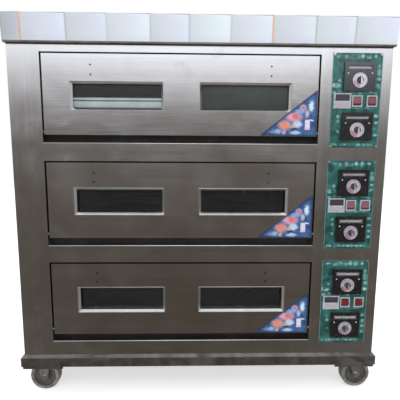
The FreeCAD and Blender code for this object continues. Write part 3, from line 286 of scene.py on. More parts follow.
def filmed_plates():
    low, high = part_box("crown_cladding")
    f = new_finish("filmed_plates")
    point = metres(f)
    along = (axis(f, point, "X") - low.x) / (high.x - low.x)
    up = (axis(f, point, "Z") - low.z) / (high.z - low.z)
    stops = []
    # Each plate's stops: a dark seam line at its left edge, then dim to bright and bluish across the plate,
    # which is painted shade and a painted highlight and reflection.
    for left, right, tone in zip(SEAMS, SEAMS[1:], TONES):
        stops += [(left, grey(tone * 0.62)), (left + 0.0030, (tone * 0.87, tone * 0.88, tone * 0.87, 1)),
                  (right - 0.0025, (tone * 1.05, tone * 1.07, tone * 1.12, 1))]
    plate = f.node("ValToRGB", {"stops": stops}, {"Fac": along})
    cloud = noise(f, point, 16.0, 4.0, 0.4)
    weave = noise(f, stretched(f, point, (260, 260, 12)), 1.0, 2.0) * 0.5
    weave = weave + noise(f, stretched(f, point, (12, 12, 260)), 1.0, 2.0) * 0.5
    tint = mix(f, (0.93, 0.94, 1.0, 1), (0.93, 1.0, 0.98, 1), soft(f, cloud, 0.35, 0.68))
    shade = f.node("Mix", {"data_type": "RGBA", "blend_type": "MULTIPLY"}, {0: 1.0, 6: plate, 7: tint}, 2)
    # Darker towards the foot of the plates: painted shade.
    shade = mix(f, shade, (0.62, 0.60, 0.62, 1), soft(f, up, 0.30, 0.0) * 0.25)
    rust = 0.0
    for seam in RUSTY:
        rust = soft(f, maths(f, "ABSOLUTE", along - seam), 0.0022, 0.0008) + rust
    shade = mix(f, shade, (1.0, 0.44, 0.16, 1), rust * 0.85)
    roughness = cloud * 0.15 + weave * 0.1 + 0.36
    return coat_with(f, {"Base Color": shade, "Metallic": 0.35, "Roughness": roughness, "Coat Weight": 0.25,
                         "Normal": bump(f, weave, 0.12, 0.0005), "Coat Roughness": 0.15})


PLATES = filmed_plates()
print("plates", PLATES.name, "with", len(TONES), "tones")

# %% [markdown]
# ## Plain steels
# The base frame is hot-rolled angle, the hearths are steel browned and sooted by baking, and the casters are
# zinc plated. The liners are near black, partly soot from baking and partly painted shade for the inside of
# the closed
# chambers. All are the same recipe: a mottled metal with darker stains in some places. Only the colours, the
# size of the mottle and the roughness change, so one function makes them all. With no metal in it the same
# recipe also makes the lamps' porcelain rims and the mineral wool.

# %% Mottled steel
def mottled(name, light, dark, stain, rough, size=26.0, stained=0.5, metal=1.0, depth=0.25):
    f = new_finish(name)
    point = metres(f)
    grain = noise(f, point, size * 9, 4.0)
    cloud = noise(f, point, size, 5.0, 0.8)
    patch = soft(f, noise(f, point, size * 0.35, 6.0, 1.0), 0.62 - stained * 0.2, 0.80 - stained * 0.15)
    colour = mix(f, mix(f, dark, light, soft(f, cloud * 0.6 + grain * 0.4, 0.36, 0.64)), stain, patch * 0.75)
    return coat_with(f, {"Base Color": colour, "Metallic": metal - patch * (0.35 * metal) if metal else 0.0,
                         "Roughness": grain * 0.12 + cloud * 0.10 + patch * 0.18 + (rough - 0.1),
                         "Normal": bump(f, grain + patch * 0.5, depth, 0.0008)})


FRAME_STEEL = mottled("rolled_angle", (0.30, 0.275, 0.25, 1), (0.17, 0.155, 0.14, 1),
                      (0.09, 0.065, 0.045, 1), 0.42)
# The liner's near-black is partly soot and partly painted shade for the inside of a closed chamber.
LINER = mottled("sooted_and_shaded_liner", (0.060, 0.056, 0.054, 1), (0.030, 0.028, 0.028, 1),
                (0.055, 0.034, 0.020, 1), 0.52, size=12.0, stained=0.7, metal=0.4)
HEARTH = mottled("baked_hearth", (0.17, 0.15, 0.13, 1), (0.10, 0.085, 0.075, 1),
                 (0.05, 0.032, 0.022, 1), 0.50, size=14.0, stained=0.9)
SHEATH = mottled("element_sheath", (0.24, 0.20, 0.19, 1), (0.13, 0.11, 0.11, 1),
                 (0.28, 0.15, 0.09, 1), 0.45, size=40.0, stained=0.8)
ZINC = mottled("zinc_plate", (0.66, 0.64, 0.58, 1), (0.44, 0.43, 0.40, 1),
               (0.26, 0.23, 0.18, 1), 0.34, size=60.0)
FASTENER = mottled("bright_screw", (0.74, 0.73, 0.71, 1), (0.55, 0.54, 0.52, 1),
                   (0.2, 0.17, 0.14, 1), 0.28, size=180.0, stained=0.4)
PORCELAIN = mottled("lamp_rim", (0.80, 0.79, 0.74, 1), (0.66, 0.64, 0.58, 1),
                    (0.35, 0.28, 0.18, 1), 0.30, size=60.0, stained=0.4, metal=0.0)
WOOL = mottled("mineral_wool", (0.62, 0.54, 0.36, 1), (0.42, 0.35, 0.20, 1),
               (0.25, 0.18, 0.09, 1), 0.92, size=60.0, stained=0.4, metal=0.0, depth=0.9)
MOTTLED = (FRAME_STEEL, LINER, HEARTH, SHEATH, ZINC, FASTENER, PORCELAIN, WOOL)
print("mottled finishes", [m.name for m in MOTTLED])

# %% [markdown]
# ## Moulded plastics
# Controller cases, switch bezels, contactors and the gland are moulded. Moulded plastic is one colour all
# through, with a fine spark-eroded texture, and dust and finger grease on the faces that are handled.

# %% Moulded plastic
def moulded(name, colour, dusty, rough, gloss=0.0):
    f = new_finish(name)
    point = metres(f)
    skin = noise(f, point, 900.0, 2.0)
    grease = noise(f, point, 38.0, 5.0, 1.1)
    dust = soft(f, noise(f, point, 90.0, 6.0), 0.52, 0.72)
    face = mix(f, colour, dusty, dust * 0.22 + soft(f, grease, 0.5, 0.8) * 0.10)
    return coat_with(f, {"Base Color": face, "Roughness": grease * 0.22 + dust * 0.12 + (rough - 0.12),
                         "Normal": bump(f, skin, 0.12, 0.0002), "Coat Weight": gloss, "Coat Roughness": 0.08,
                         "Coat IOR": 1.7})


CASE_BLACK = moulded("case_black", (0.005, 0.005, 0.006, 1), (0.045, 0.04, 0.042, 1), 0.24, 1.0)
BEZEL = moulded("bezel_grey", (0.36, 0.41, 0.42, 1), (0.20, 0.19, 0.17, 1), 0.42)
CONTACTOR = moulded("contactor_plastic", (0.05, 0.052, 0.056, 1), (0.25, 0.24, 0.22, 1), 0.50)
GLAND = moulded("gland_plastic", (0.16, 0.165, 0.17, 1), (0.30, 0.28, 0.26, 1), 0.48)
ROCKER = moulded("rocker_red", (0.15, 0.004, 0.010, 1), (0.22, 0.05, 0.06, 1), 0.24, 0.5)
print("plastics", [m.name for m in (CASE_BLACK, BEZEL, CONTACTOR, GLAND, ROCKER)])

# %% [markdown]
# ## The printed control panels
# Each panel is a thin plate with a screen-printed teal ground. White print marks the settings round the
# controllers and the switches. It is worn and smudged here, so it is drawn as soft pale blots, not as
# words. A few of the pale blots are not print but painted highlights: a bright line along a bezel's edge
# and a glint near one corner. An image could carry the print, but blots stay sharp at any size. They are
# placed in millimetres from the panel's top left corner, and the height is wrapped at the deck pitch, so
# one finish prints all three panels.

# %% The panel print
# Most blots are print. The two long thin lines 171 mm down are a painted highlight along a bezel's edge, and
# the blot 131 mm across, 262 mm down is a painted glint.
PRINT_AND_GLINTS = [  # across and down in mm, half width, half height, strength
    (21, 12, 9, 5, 0.8), (42, 13, 8, 6, 0.45), (61, 12, 9, 7, 0.6), (79, 13, 7, 6, 0.5),
    (95, 10, 6, 7, 0.8), (114, 11, 8, 7, 0.7), (137, 10, 5, 5, 1.0), (149, 38, 5, 7, 0.6),
    (150, 59, 7, 11, 0.6), (150, 80, 6, 5, 0.9), (150, 101, 7, 6, 1.0), (24, 84, 5, 5, 0.7),
    (13, 101, 14, 7, 1.0), (44, 117, 6, 5, 0.9), (9, 123, 6, 5, 0.8), (28, 119, 6, 3, 0.45),
    (93, 125, 7, 3, 0.6), (144, 125, 5, 4, 0.6), (128, 121, 9, 2.5, 0.5), (24, 198, 5, 5, 0.7),
    (25, 214, 5, 5, 0.6), (26, 246, 5, 5, 0.4), (149, 196, 6, 6, 0.9), (150, 217, 6, 5, 0.8),
    (150, 237, 6, 4, 0.9), (150, 257, 6, 4, 0.9), (131, 262, 8, 4, 0.6), (100, 171, 40, 2, 0.5),
    (30, 171, 22, 2, 0.4)]
PRINT_RAG = 7.0  # mm, the furthest that ragged() pushes; half of it on average
FOOT_TOP, FOOT_BOTTOM, FOOT_LEFT, FOOT_RIGHT = 0.2835, 0.2925, 0.006, 0.145
PANEL_WIDE = panel_high.x - panel_low.x


def panel_place(f, point):
    """Metres across and down from the top left corner of whichever panel this is."""
    across = axis(f, point, "X") - panel_low.x
    return across, maths(f, "WRAP", panel_high.z - axis(f, point, "Z"), DECK_PITCH, 0.0)


def panel_print_and_glints():
    f = new_finish("panel_print_and_glints")
    point = metres(f)
    across, down = panel_place(f, point)
    flat = f.node("CombineXYZ", {}, {0: across, 1: 0.0, 2: down})
    worn = ragged(f, flat, point, 170.0, PRINT_RAG * MM)
    ink_and_glints = 0.0
    for x, z, half_x, half_z, strength in PRINT_AND_GLINTS:
        middle = ((x + PRINT_RAG / 2) * MM, 0, (z + PRINT_RAG / 2) * MM)
        ink_and_glints = oval(f, worn, middle, (half_x * MM, 9, half_z * MM), 0.45) * strength + ink_and_glints
    row = soft(f, maths(f, "PINGPONG", across, 0.0075), 0.0018, 0.0034)
    foot = band(f, down, FOOT_TOP, FOOT_BOTTOM, 0.002) * soft(f, across, FOOT_LEFT, FOOT_LEFT + 0.004)
    foot = foot * soft(f, across, FOOT_RIGHT, FOOT_RIGHT - 0.010)
    ink_and_glints = ink_and_glints + foot * (row * 0.45 + 0.25)
    fade = noise(f, point, 60.0, 5.0, 0.8)
    ink_and_glints = ink_and_glints * soft(f, fade, 0.32, 0.66)
    cloud = noise(f, point, 26.0, 4.0, 1.0)
    ground = mix(f, (0.005, 0.050, 0.040, 1), (0.026, 0.150, 0.128, 1), soft(f, cloud, 0.32, 0.70))
    ground = mix(f, ground, (0.004, 0.022, 0.018, 1), soft(f, fade, 0.52, 0.72) * 0.6)
    right_edge = soft(f, across, PANEL_WIDE - 0.0018, PANEL_WIDE - 0.0008)
    edge = maths(f, "MAXIMUM", soft(f, across, 0.0018, 0.0008), right_edge)
    colour = mix(f, ground, (0.36, 0.66, 0.62, 1), maths(f, "MAXIMUM", ink_and_glints * 0.9, edge * 0.3))
    return coat_with(f, {"Base Color": colour, "Roughness": fade * 0.25 + 0.22, "Coat Weight": 0.3,
                         "Coat Roughness": 0.2, "Normal": bump(f, ink_and_glints + cloud * 0.3, 0.15, 0.0003)})


PANEL = panel_print_and_glints()
print("panel print", len(PRINT_AND_GLINTS), "blots")

# %% [markdown]
# ## Timer faces
# The timer is a pale box with a dark window in its upper half and a lighter strip of keys below. The box is
# one part with one material slot, so the finish tells window, keys and frame apart by place on the panel.

# %% The timer finish
BORDER = 0.0045
WINDOW_TOP, WINDOW_FOOT = 0.0036, 0.0244
KEYS_TOP, KEYS_FOOT = 0.0275, 0.0445


def timer_face():
    low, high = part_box("timers")
    f = new_finish("timer_face")
    point = metres(f)
    across, down = panel_place(f, point)
    down = down - (panel_high.z - high.z)
    inside = band(f, across, low.x - panel_low.x + BORDER, high.x - panel_low.x - BORDER, 0.0007)
    window = inside * band(f, down, WINDOW_TOP, WINDOW_FOOT, 0.0006)
    strip = inside * band(f, down, KEYS_TOP, KEYS_FOOT, 0.001)
    wear = noise(f, point, 70.0, 5.0, 0.9)
    bars = soft(f, maths(f, "PINGPONG", down, 0.0027), 0.0010, 0.0020)
    pale = mix(f, (0.28, 0.31, 0.33, 1), (0.40, 0.44, 0.46, 1), soft(f, wear, 0.35, 0.65))
    pale = mix(f, pale, (0.42, 0.34, 0.35, 1), strip * 0.8)
    glassy = mix(f, (0.035, 0.030, 0.034, 1), (0.075, 0.060, 0.066, 1), bars)
    roughness = 0.42 - window * 0.3 + wear * 0.1
    return coat_with(f, {"Base Color": mix(f, pale, glassy, window), "Roughness": roughness,
                         "Normal": bump(f, wear, 0.08, 0.0002)})


TIMER = timer_face()
print("timer finish", TIMER.name)

# %% [markdown]
# ## Heat dials
# A dial is a lilac-grey anodised disc with a printed scale, and a dark knob with a bright turned face. The
# scale is short strokes round the rim, which come from the angle about the dial's own middle, so each dial
# needs its own centre. The pink arc marks the hottest settings.

# %% Dial finish
SCALE_FROM, SCALE_TO = 0.0165, 0.0212  # radii of the strokes
ARC_FROM, ARC_TO = 0.0135, 0.0225
KNOB_RADIUS = 0.0118
STROKE_GAP = math.pi / 30  # half the angle from one stroke to the next


def dial_face(node):
    low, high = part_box(node)
    f = new_finish(node + "_face")
    point = metres(f)
    x, z, away = round_middle(f, point, (low + high) / 2)
    depth = axis(f, point, "Y") - low.y
    angle = maths(f, "ARCTAN2", x, z)
    stroke = maths(f, "PINGPONG", angle + math.pi, STROKE_GAP)
    ticks = soft(f, stroke, 0.036, 0.018) * band(f, away, SCALE_FROM, SCALE_TO, 0.0007)
    ticks = ticks * soft(f, maths(f, "ABSOLUTE", angle), 2.75, 2.65)
    hot = soft(f, angle, -1.6, -1.9) * band(f, away, ARC_FROM, ARC_TO, 0.001)
    turned = noise(f, f.node("CombineXYZ", {}, {0: away * 900.0, 1: 0.0, 2: 0.0}), 1.0, 2.0)
    cloud = noise(f, point, 120.0, 5.0, 1.0)
    sheen = soft(f, cloud * 0.5 + turned * 0.5, 0.35, 0.65)
    disc = mix(f, (0.60, 0.54, 0.60, 1), (0.86, 0.81, 0.86, 1), sheen)
    disc = mix(f, disc, (0.62, 0.22, 0.32, 1), hot * 0.75)
    disc = mix(f, disc, (0.05, 0.045, 0.055, 1), ticks)
    knob = soft(f, away, KNOB_RADIUS, KNOB_RADIUS - 0.0008)
    top = soft(f, depth, 0.0016, 0.0004)
    side = mix(f, (0.035, 0.032, 0.036, 1), (0.12, 0.11, 0.12, 1), turned)
    cap = mix(f, (0.72, 0.69, 0.72, 1), (0.92, 0.89, 0.91, 1), turned)
    pointer = top * soft(f, maths(f, "ABSOLUTE", x), 0.0011, 0.0008) * soft(f, z, 0.001, 0.002)
    cap = mix(f, cap, (0.30, 0.02, 0.03, 1), pointer)
    colour = mix(f, disc, mix(f, side, cap, top), knob)
    metal = 0.55 * (1 - knob) + 0.9 * (knob * top)
    return coat_with(f, {"Base Color": colour, "Metallic": metal, "Roughness": cloud * 0.2 + 0.22,
                         "Normal": bump(f, turned, 0.10, 0.0002)})


DIALS = [f"{deck}_deck_{case}_heat_dial" for deck in DECKS for case in CASES]
dials = {node: dial_face(node) for node in DIALS}
print("dials", len(dials))

# %% [markdown]
# ## Door glass
# The panes are tempered glass with a green cast and a film of grease and baked-on haze inside. Clear glass
# is a transmissive surface; the haze is a second, cloudy surface mixed over it where the noise says so. On
# the upper door both panes are lighter than those below, a painted reflection mixed with the haze: the left
# pane carries pale bands in its lower half, and the right pane is hazed all over. One finish does both, by
# height and by side.

# %% The pane
GLASS_IOR = 1.46


def pane():
    low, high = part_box("upper_door_glass")
    f = new_finish("door_glass")
    point = metres(f)
    haze = noise(f, point, 9.0, 6.0, 1.6)
    wiped = noise(f, stretched(f, point, (3.0, 3.0, 26.0)), 2.2, 4.0, 0.8)
    up = (axis(f, point, "Z") - low.z) / (high.z - low.z)
    upper = soft(f, up, -0.2, 0.0)
    top_left = upper * soft(f, axis(f, point, "X"), 0.0, -0.01)
    top_right = upper * soft(f, axis(f, point, "X"), -0.01, 0.0)
    # On the upper left pane, pale bands in its lower half: a painted reflection.
    rim = soft(f, up, 0.50, 0.42) * (1.0 - soft(f, up, 0.40, 0.37) * 0.62) + soft(f, up, 0.36, 0.31) * 0.62
    rim = rim * (1.0 - soft(f, up, 0.16, 0.10) * 0.5) * top_left
    film = soft(f, haze * 0.5 + wiped * 0.5, 0.42, 0.68)
    clear = f.node("BsdfPrincipled", {}, {"Base Color": (0.30, 0.32, 0.305, 1), "Roughness": 0.04,
                                         "IOR": GLASS_IOR, "Transmission Weight": 1.0})
    haze_and_reflection = mix(f, (0.11, 0.12, 0.115, 1), (0.52, 0.60, 0.59, 1), rim)
    cloudy = f.node("BsdfPrincipled", {}, {"Base Color": haze_and_reflection, "Roughness": 0.25, "IOR": GLASS_IOR})
    # How much haze covers the clear glass: a grease film everywhere, plus a painted reflection on the upper
    # door's two panes.
    thick = film * 0.05 + 0.01 + top_left * (rim * (haze * 0.5 + 0.35) + 0.12)
    thick = thick + top_right * (haze * 0.3 + 0.22)
    return f.node("OutputMaterial", {}, {"Surface": f.node("MixShader", {}, {0: thick, 1: clear, 2: cloudy})})


GLASS = pane()
print("pane", GLASS.name)

# %% [markdown]
# ## Caster wheels
# The wheels are cast nylon: a tread ring browned by flour and floor dirt, and a darker recessed web. How
# far a point is from the axle tells ring from web, so each wheel's finish is centred on its own axle.

# %% Wheel finish
WEB_RADIUS, TREAD_RADIUS = 0.0375, 0.0500


def wheel_finish(node):
    low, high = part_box(node)
    f = new_finish(node + "_nylon")
    point = metres(f)
    away = round_middle(f, point, (low + high) / 2)[2]
    grime = noise(f, point, 55.0, 6.0, 0.9)
    rim = soft(f, away, WEB_RADIUS, WEB_RADIUS + 0.002)
    tread = soft(f, away, TREAD_RADIUS - 0.0025, TREAD_RADIUS)
    ring = mix(f, (0.13, 0.115, 0.095, 1), (0.24, 0.215, 0.18, 1), soft(f, grime, 0.35, 0.65))
    web = mix(f, (0.06, 0.058, 0.052, 1), (0.10, 0.095, 0.085, 1), soft(f, grime, 0.35, 0.65))
    colour = mix(f, mix(f, web, ring, rim), (0.10, 0.085, 0.07, 1), tread * soft(f, grime, 0.35, 0.6) * 0.85)
    return coat_with(f, {"Base Color": colour, "Roughness": grime * 0.25 + 0.42,
                         "Normal": bump(f, grime, 0.4, 0.0008)})


CORNERS = ["front_left", "front_right", "rear_left", "rear_right"]
wheels = {f"{corner}_caster_wheel": wheel_finish(f"{corner}_caster_wheel") for corner in CORNERS}
print("wheels", len(wheels))

# %% [markdown]
# ## Hand the finishes out
# Every part of the frame keeps its shape and takes a finish in each of its material slots.

# %% Finish for each part
finishes = {"base_frame": FRAME_STEEL, "caster_plates": ZINC, "floor_pan": LEVEL, "left_side_panel": UPRIGHT,
            "right_side_panel": UPRIGHT, "back_panel": UPRIGHT, "top_panel": DEEP, "crown": SHADED,
            "crown_cladding": PLATES, "left_pillar": UPRIGHT, "control_column": UPRIGHT, "deck_rails": LEVEL,
            "bay_partition": LINER, "hearth_plates": HEARTH, "heating_elements": SHEATH, "insulation": WOOL,
            "chamber_lamps": PORCELAIN, "temperature_probes": FASTENER, "steam_outlets": DEEP,
            "hinge_brackets": ZINC, "contactors": CONTACTOR, "cable_gland": GLAND, "control_panels": PANEL,
            "controller_cases": CASE_BLACK, "timers": TIMER, "switch_bezels": BEZEL, "panel_screws": FASTENER}
for deck in DECKS:
    finishes.update({f"{deck}_chamber": LINER, f"{deck}_door_skin": DOOR, f"{deck}_door_inner_pan": DEEP,
                     f"{deck}_door_glass": GLASS, f"{deck}_deck_lamp_rocker": ROCKER,
                     f"{deck}_deck_power_rocker": ROCKER})
for corner in CORNERS:
    finishes[f"{corner}_caster_fork"] = ZINC
finishes.update(dials)
finishes.update(wheels)
for node, finish in finishes.items():
    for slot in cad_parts[node].material_slots:
        slot.material = finish
bare = sorted(set(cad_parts) - set(finishes))
print("finished", len(finishes), "of", len(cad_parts), "parts; bare:", bare)

# %% [markdown]
# ## Making a piece by hand
# New pieces start from a primitive at its size and place, are shaped in edit mode, and end with their place
# in the mesh, so that a pattern on Object coordinates stays put. Everything is deselected first, because an
# operator works on all that is selected. A piece that repeats is modelled once and copied, each copy with a
# mesh of its own.

# %% Modelling helpers
def start(shape, name, **place):
    bpy.ops.object.select_all(action="DESELECT")
    getattr(bpy.ops.mesh, f"primitive_{shape}_add")(**place)
    piece = bpy.context.active_object
    piece.name = piece.data.name = name
    return piece


def settle():
    """Puts the selected piece's place, turn and scale into its mesh."""
    bpy.ops.object.transform_apply(location=True, rotation=True, scale=True)


def every(item):
    return True


def edit(piece, chosen, mode="FACE"):
    """Opens the piece in edit mode with the faces, edges or vertices selected that chosen() accepts."""
    kinds = {"VERT": piece.data.vertices, "EDGE": piece.data.edges, "FACE": piece.data.polygons}
    for items in kinds.values():
        for item in items:
            item.select = False
    for item in kinds[mode]:
        item.select = chosen(item)
    bpy.context.tool_settings.mesh_select_mode = [mode == kind for kind in kinds]
    bpy.ops.object.mode_set(mode="EDIT")


def leave():
    bpy.ops.object.mode_set(mode="OBJECT")


def copy_of(piece, name, step):
    """A copy with a mesh of its own, a step away; the step goes into the mesh."""
    twin = piece.copy()
    twin.data = piece.data.copy()
    twin.name = twin.data.name = name
    bpy.context.collection.objects.link(twin)
    twin.data.transform(Matrix.Translation(step))
    return twin


def swept_frame(name, middle, wide, tall, corner, thick):
    """A rounded rectangle in the upright plane, swept as a tube."""
    loop = start("plane", name, size=1.0, location=middle, rotation=(math.pi / 2, 0, 0))
    loop.scale = (wide, tall, 1)
    settle()
    edit(loop, every, "VERT")
    bpy.ops.mesh.bevel(offset=corner, segments=5, affect="VERTICES")
    bpy.ops.mesh.delete(type="ONLY_FACE")
    leave()
    bpy.ops.object.convert(target="CURVE")
    loop = bpy.context.active_object
    loop.data.bevel_depth, loop.data.bevel_resolution = thick, 3
    bpy.ops.object.convert(target="MESH")
    loop = bpy.context.active_object
    bpy.ops.object.shade_smooth()
    return loop


def dress(piece, finish, body):
    piece.data.materials.clear()
    piece.data.materials.append(finish)
    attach(piece, body)
    print(piece.name, len(piece.data.polygons), "faces, rides on", body)


def dress_each_deck(piece, ending, finish, body):
    """Dresses the upper deck's piece and a copy of it for each deck below; body may hold {deck}."""
    for row, deck in enumerate(DECKS):
        here = copy_of(piece, f"{deck}_{ending}", (0, 0, -DECK_PITCH * row)) if row else piece
        dress(here, finish, body.format(deck=deck))


print("modelling helpers ready")

# %% [markdown]
# ## Printed triangles on the doors
# A glossy printed vinyl triangle fills the lower right corner of each door. On the real oven it shows
# rolls, cakes and a cup on blue. Here they are plain round and square blots of the same colours, placed by
# the triangle's own flat map from 0 to 1. A pattern on Object coordinates would do too, but the flat map
# suits a print that is laid out as a share of its sheet.

# %% The print on the triangles
BLOTS = [  # across, up, half width, half height, colour
    (0.70, 0.53, 0.080, 0.045, (0.20, 0.42, 0.70, 1)), (0.44, 0.225, 0.115, 0.100, (0.52, 0.33, 0.36, 1)),
    (0.44, 0.235, 0.080, 0.068, (0.80, 0.22, 0.07, 1)), (0.60, 0.41, 0.130, 0.085, (0.80, 0.38, 0.46, 1)),
    (0.63, 0.42, 0.068, 0.060, (0.70, 0.12, 0.09, 1)), (0.755, 0.61, 0.060, 0.066, (0.62, 0.36, 0.46, 1)),
    (0.755, 0.61, 0.026, 0.030, (0.34, 0.13, 0.18, 1)), (0.83, 0.48, 0.036, 0.080, (0.52, 0.46, 0.58, 1)),
    (0.90, 0.645, 0.042, 0.112, (0.66, 0.82, 0.90, 1)), (0.92, 0.34, 0.040, 0.016, (0.62, 0.78, 0.86, 1)),
    (0.66, 0.25, 0.080, 0.078, (0.58, 0.64, 0.78, 1)), (0.59, 0.20, 0.055, 0.030, (0.46, 0.42, 0.34, 1)),
    (0.63, 0.065, 0.090, 0.038, (0.42, 0.56, 0.74, 1)), (0.615, 0.14, 0.048, 0.028, (0.010, 0.016, 0.03, 1)),
    (0.23, 0.085, 0.062, 0.032, (0.24, 0.24, 0.40, 1)), (0.32, 0.10, 0.055, 0.040, (0.36, 0.46, 0.66, 1)),
    (0.43, 0.075, 0.036, 0.045, (0.55, 0.38, 0.38, 1))]
BLOT_RAG = 0.08  # share of the sheet, the furthest that ragged() pushes; half of it on average
CUP_LEFT, CUP_RIGHT, CUP_FOOT, CUP_TOP, CUP_LINE = 0.790, 0.892, 0.125, 0.36, 0.19


def triangle_print():
    f = new_finish("triangle_print")
    flat = f.node("TexCoord", {}, {}, "UV")
    across, up = axis(f, flat, "X"), axis(f, flat, "Y")
    worn = ragged(f, flat, flat, 22.0, BLOT_RAG)
    cloud = noise(f, flat, 5.0, 4.0, 0.8)
    fleck = noise(f, flat, 34.0, 4.0, 1.2)
    colour = mix(f, (0.012, 0.045, 0.13, 1), (0.045, 0.13, 0.32, 1), soft(f, cloud, 0.30, 0.66))
    for x, z, half_x, half_z, blot in BLOTS:
        middle = (x + BLOT_RAG / 2, z + BLOT_RAG / 2, BLOT_RAG / 2)
        shape = oval(f, worn, middle, (half_x, half_z, 9), 0.5)
        colour = mix(f, colour, blot, shape * (soft(f, fleck, 0.22, 0.50) * 0.5 + 0.42))
    cup = band(f, across, CUP_LEFT, CUP_RIGHT, 0.015) * (soft(f, fleck, 0.20, 0.52) * 0.45 + 0.5)
    whole = soft(f, up, CUP_FOOT, CUP_FOOT + 0.015) * soft(f, up, CUP_TOP, CUP_TOP - 0.02)
    colour = mix(f, colour, (0.70, 0.68, 0.78, 1), cup * whole)
    colour = mix(f, colour, (0.78, 0.40, 0.52, 1), cup * band(f, up, CUP_FOOT, CUP_LINE, 0.015))
    rim = maths(f, "MAXIMUM", soft(f, across, 0.972, 0.985), soft(f, up, 0.03, 0.015))
    rim = maths(f, "MAXIMUM", soft(f, up - across, -0.055, -0.025), rim)
    colour = mix(f, colour, (0.010, 0.022, 0.06, 1), rim * 0.8)
    scuff = noise(f, metres(f), 70.0, 6.0, 1.0)
    colour = mix(f, colour, (0.02, 0.03, 0.07, 1), soft(f, fleck, 0.56, 0.70) * 0.45)
    colour = mix(f, colour, (0.30, 0.33, 0.38, 1), soft(f, scuff, 0.62, 0.82) * 0.35)
    return coat_with(f, {"Base Color": colour, "Roughness": scuff * 0.3 + 0.18, "Coat Weight": 0.5,
                         "Coat Roughness": 0.12, "Normal": bump(f, scuff + cloud, 0.15, 0.0005)})


VINYL = triangle_print()
print("triangle print", len(BLOTS), "blots")

# %% [markdown]
# ## Cutting the triangles
# The triangle is a plane cut on the slant, its corners rounded, given a film's thickness by a modifier. The
# other two doors get copies.

# %% Cut the triangles
WIDE, TALL, INSET = 0.184, 0.146, 0.0015
FILM_THICK, GLUE = 0.0003, 0.00005
film = start("plane", "upper_door_triangle", size=1.0, rotation=(math.pi / 2, 0, 0),
             location=(door_high.x - INSET - WIDE / 2, door_low.y - GLUE, door_low.z + INSET + TALL / 2))
film.scale = (WIDE, TALL, 1.0)
settle()
edit(film, every)
bpy.ops.mesh.bisect(plane_co=(door_high.x - INSET, door_low.y, door_low.z + INSET + TALL),
                    plane_no=(-TALL, 0, WIDE), clear_outer=True)
leave()
edit(film, every, "VERT")
bpy.ops.mesh.bevel(offset=0.003, segments=4, affect="VERTICES")
leave()
thickness = film.modifiers.new("solidify", "SOLIDIFY")
thickness.thickness, thickness.offset = FILM_THICK, 1.0
bpy.ops.object.modifier_apply(modifier=thickness.name)
dress_each_deck(film, "door_triangle", VINYL, "{deck}_door")

# %% [markdown]
# ## Meter windows
# Above each dial the controller has a slot with a meter: a black scale plate with a cream strip and fine
# strokes, a red needle, and a clear cover that catches the light. The plate is a thin slab with bevelled
# edges, the needle a tapered sliver, and the cover a slab too, so each has an edge to shine.

# %% Meter finishes
STRIP_TOP, STRIP_FOOT, STRIP_HALF = 0.0040, 0.0112, 0.0365
case_low, case_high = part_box("controller_cases")
case_middle = (case_low.x + case_high.x) / 2
slot_top = case_high.z - 0.009
dial_low, dial_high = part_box("upper_deck_upper_heat_dial")
CASE_STEP = Vector((0, 0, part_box("upper_deck_lower_heat_dial")[0].z - dial_low.z))


def meter_scale():
    f = new_finish("meter_scale")
    point = metres(f)
    x = axis(f, point, "X") - case_middle
    down = maths(f, "WRAP", slot_top - axis(f, point, "Z"), DECK_PITCH, 0.0)
    down = maths(f, "WRAP", down, -CASE_STEP.z, 0.0)
    strip = band(f, down, STRIP_TOP, STRIP_FOOT, 0.0004)
    strip = strip * soft(f, maths(f, "ABSOLUTE", x), STRIP_HALF, STRIP_HALF - 0.001)
    stroke = soft(f, maths(f, "PINGPONG", x + 1.0, 0.0015), 0.0005, 0.0003)
    fade = noise(f, point, 180.0, 4.0)
    cream = mix(f, (0.55, 0.50, 0.49, 1), (0.80, 0.76, 0.74, 1), fade)
    cream = mix(f, cream, (0.06, 0.05, 0.06, 1), stroke * soft(f, down, 0.0072, 0.0076))
    face = mix(f, (0.02, 0.02, 0.022, 1), cream, strip)
    return coat_with(f, {"Base Color": face, "Roughness": fade * 0.2 + 0.35})


def clear_cover():
    f = new_finish("clear_cover")
    scuff = noise(f, metres(f), 160.0, 5.0, 0.8)
    return coat_with(f, {"Base Color": (0.95, 0.95, 0.96, 1), "Roughness": scuff * 0.16 + 0.02, "IOR": 1.49,
                         "Specular IOR Level": 0.9, "Transmission Weight": 1.0})


SCALE, COVER = meter_scale(), clear_cover()
NEEDLE = moulded("needle_red", (0.55, 0.03, 0.02, 1), (0.5, 0.2, 0.18, 1), 0.35)
LENS = moulded("pilot_lens", (0.66, 0.62, 0.66, 1), (0.40, 0.36, 0.36, 1), 0.25, 0.6)
print("meter finishes", [m.name for m in (SCALE, COVER, NEEDLE, LENS)])

# %% Model one meter
SLOT_WIDE, SLOT_TALL, SLOT_MIDDLE = 0.0816, 0.0146, slot_top - 0.0075
PLATE_IN, NEEDLE_IN, COVER_IN = 0.0027, 0.0020, 0.0009  # depths behind the case's face
NEEDLE_LONG, NEEDLE_LEFT = 0.011, 0.012
face = case_low.y


def slab(name, size, middle, edge):
    piece = start("cube", name, size=1.0, location=middle)
    piece.scale = size
    settle()
    edit(piece, every, "EDGE")
    bpy.ops.mesh.bevel(offset=edge, segments=2, affect="EDGES")
    leave()
    return piece


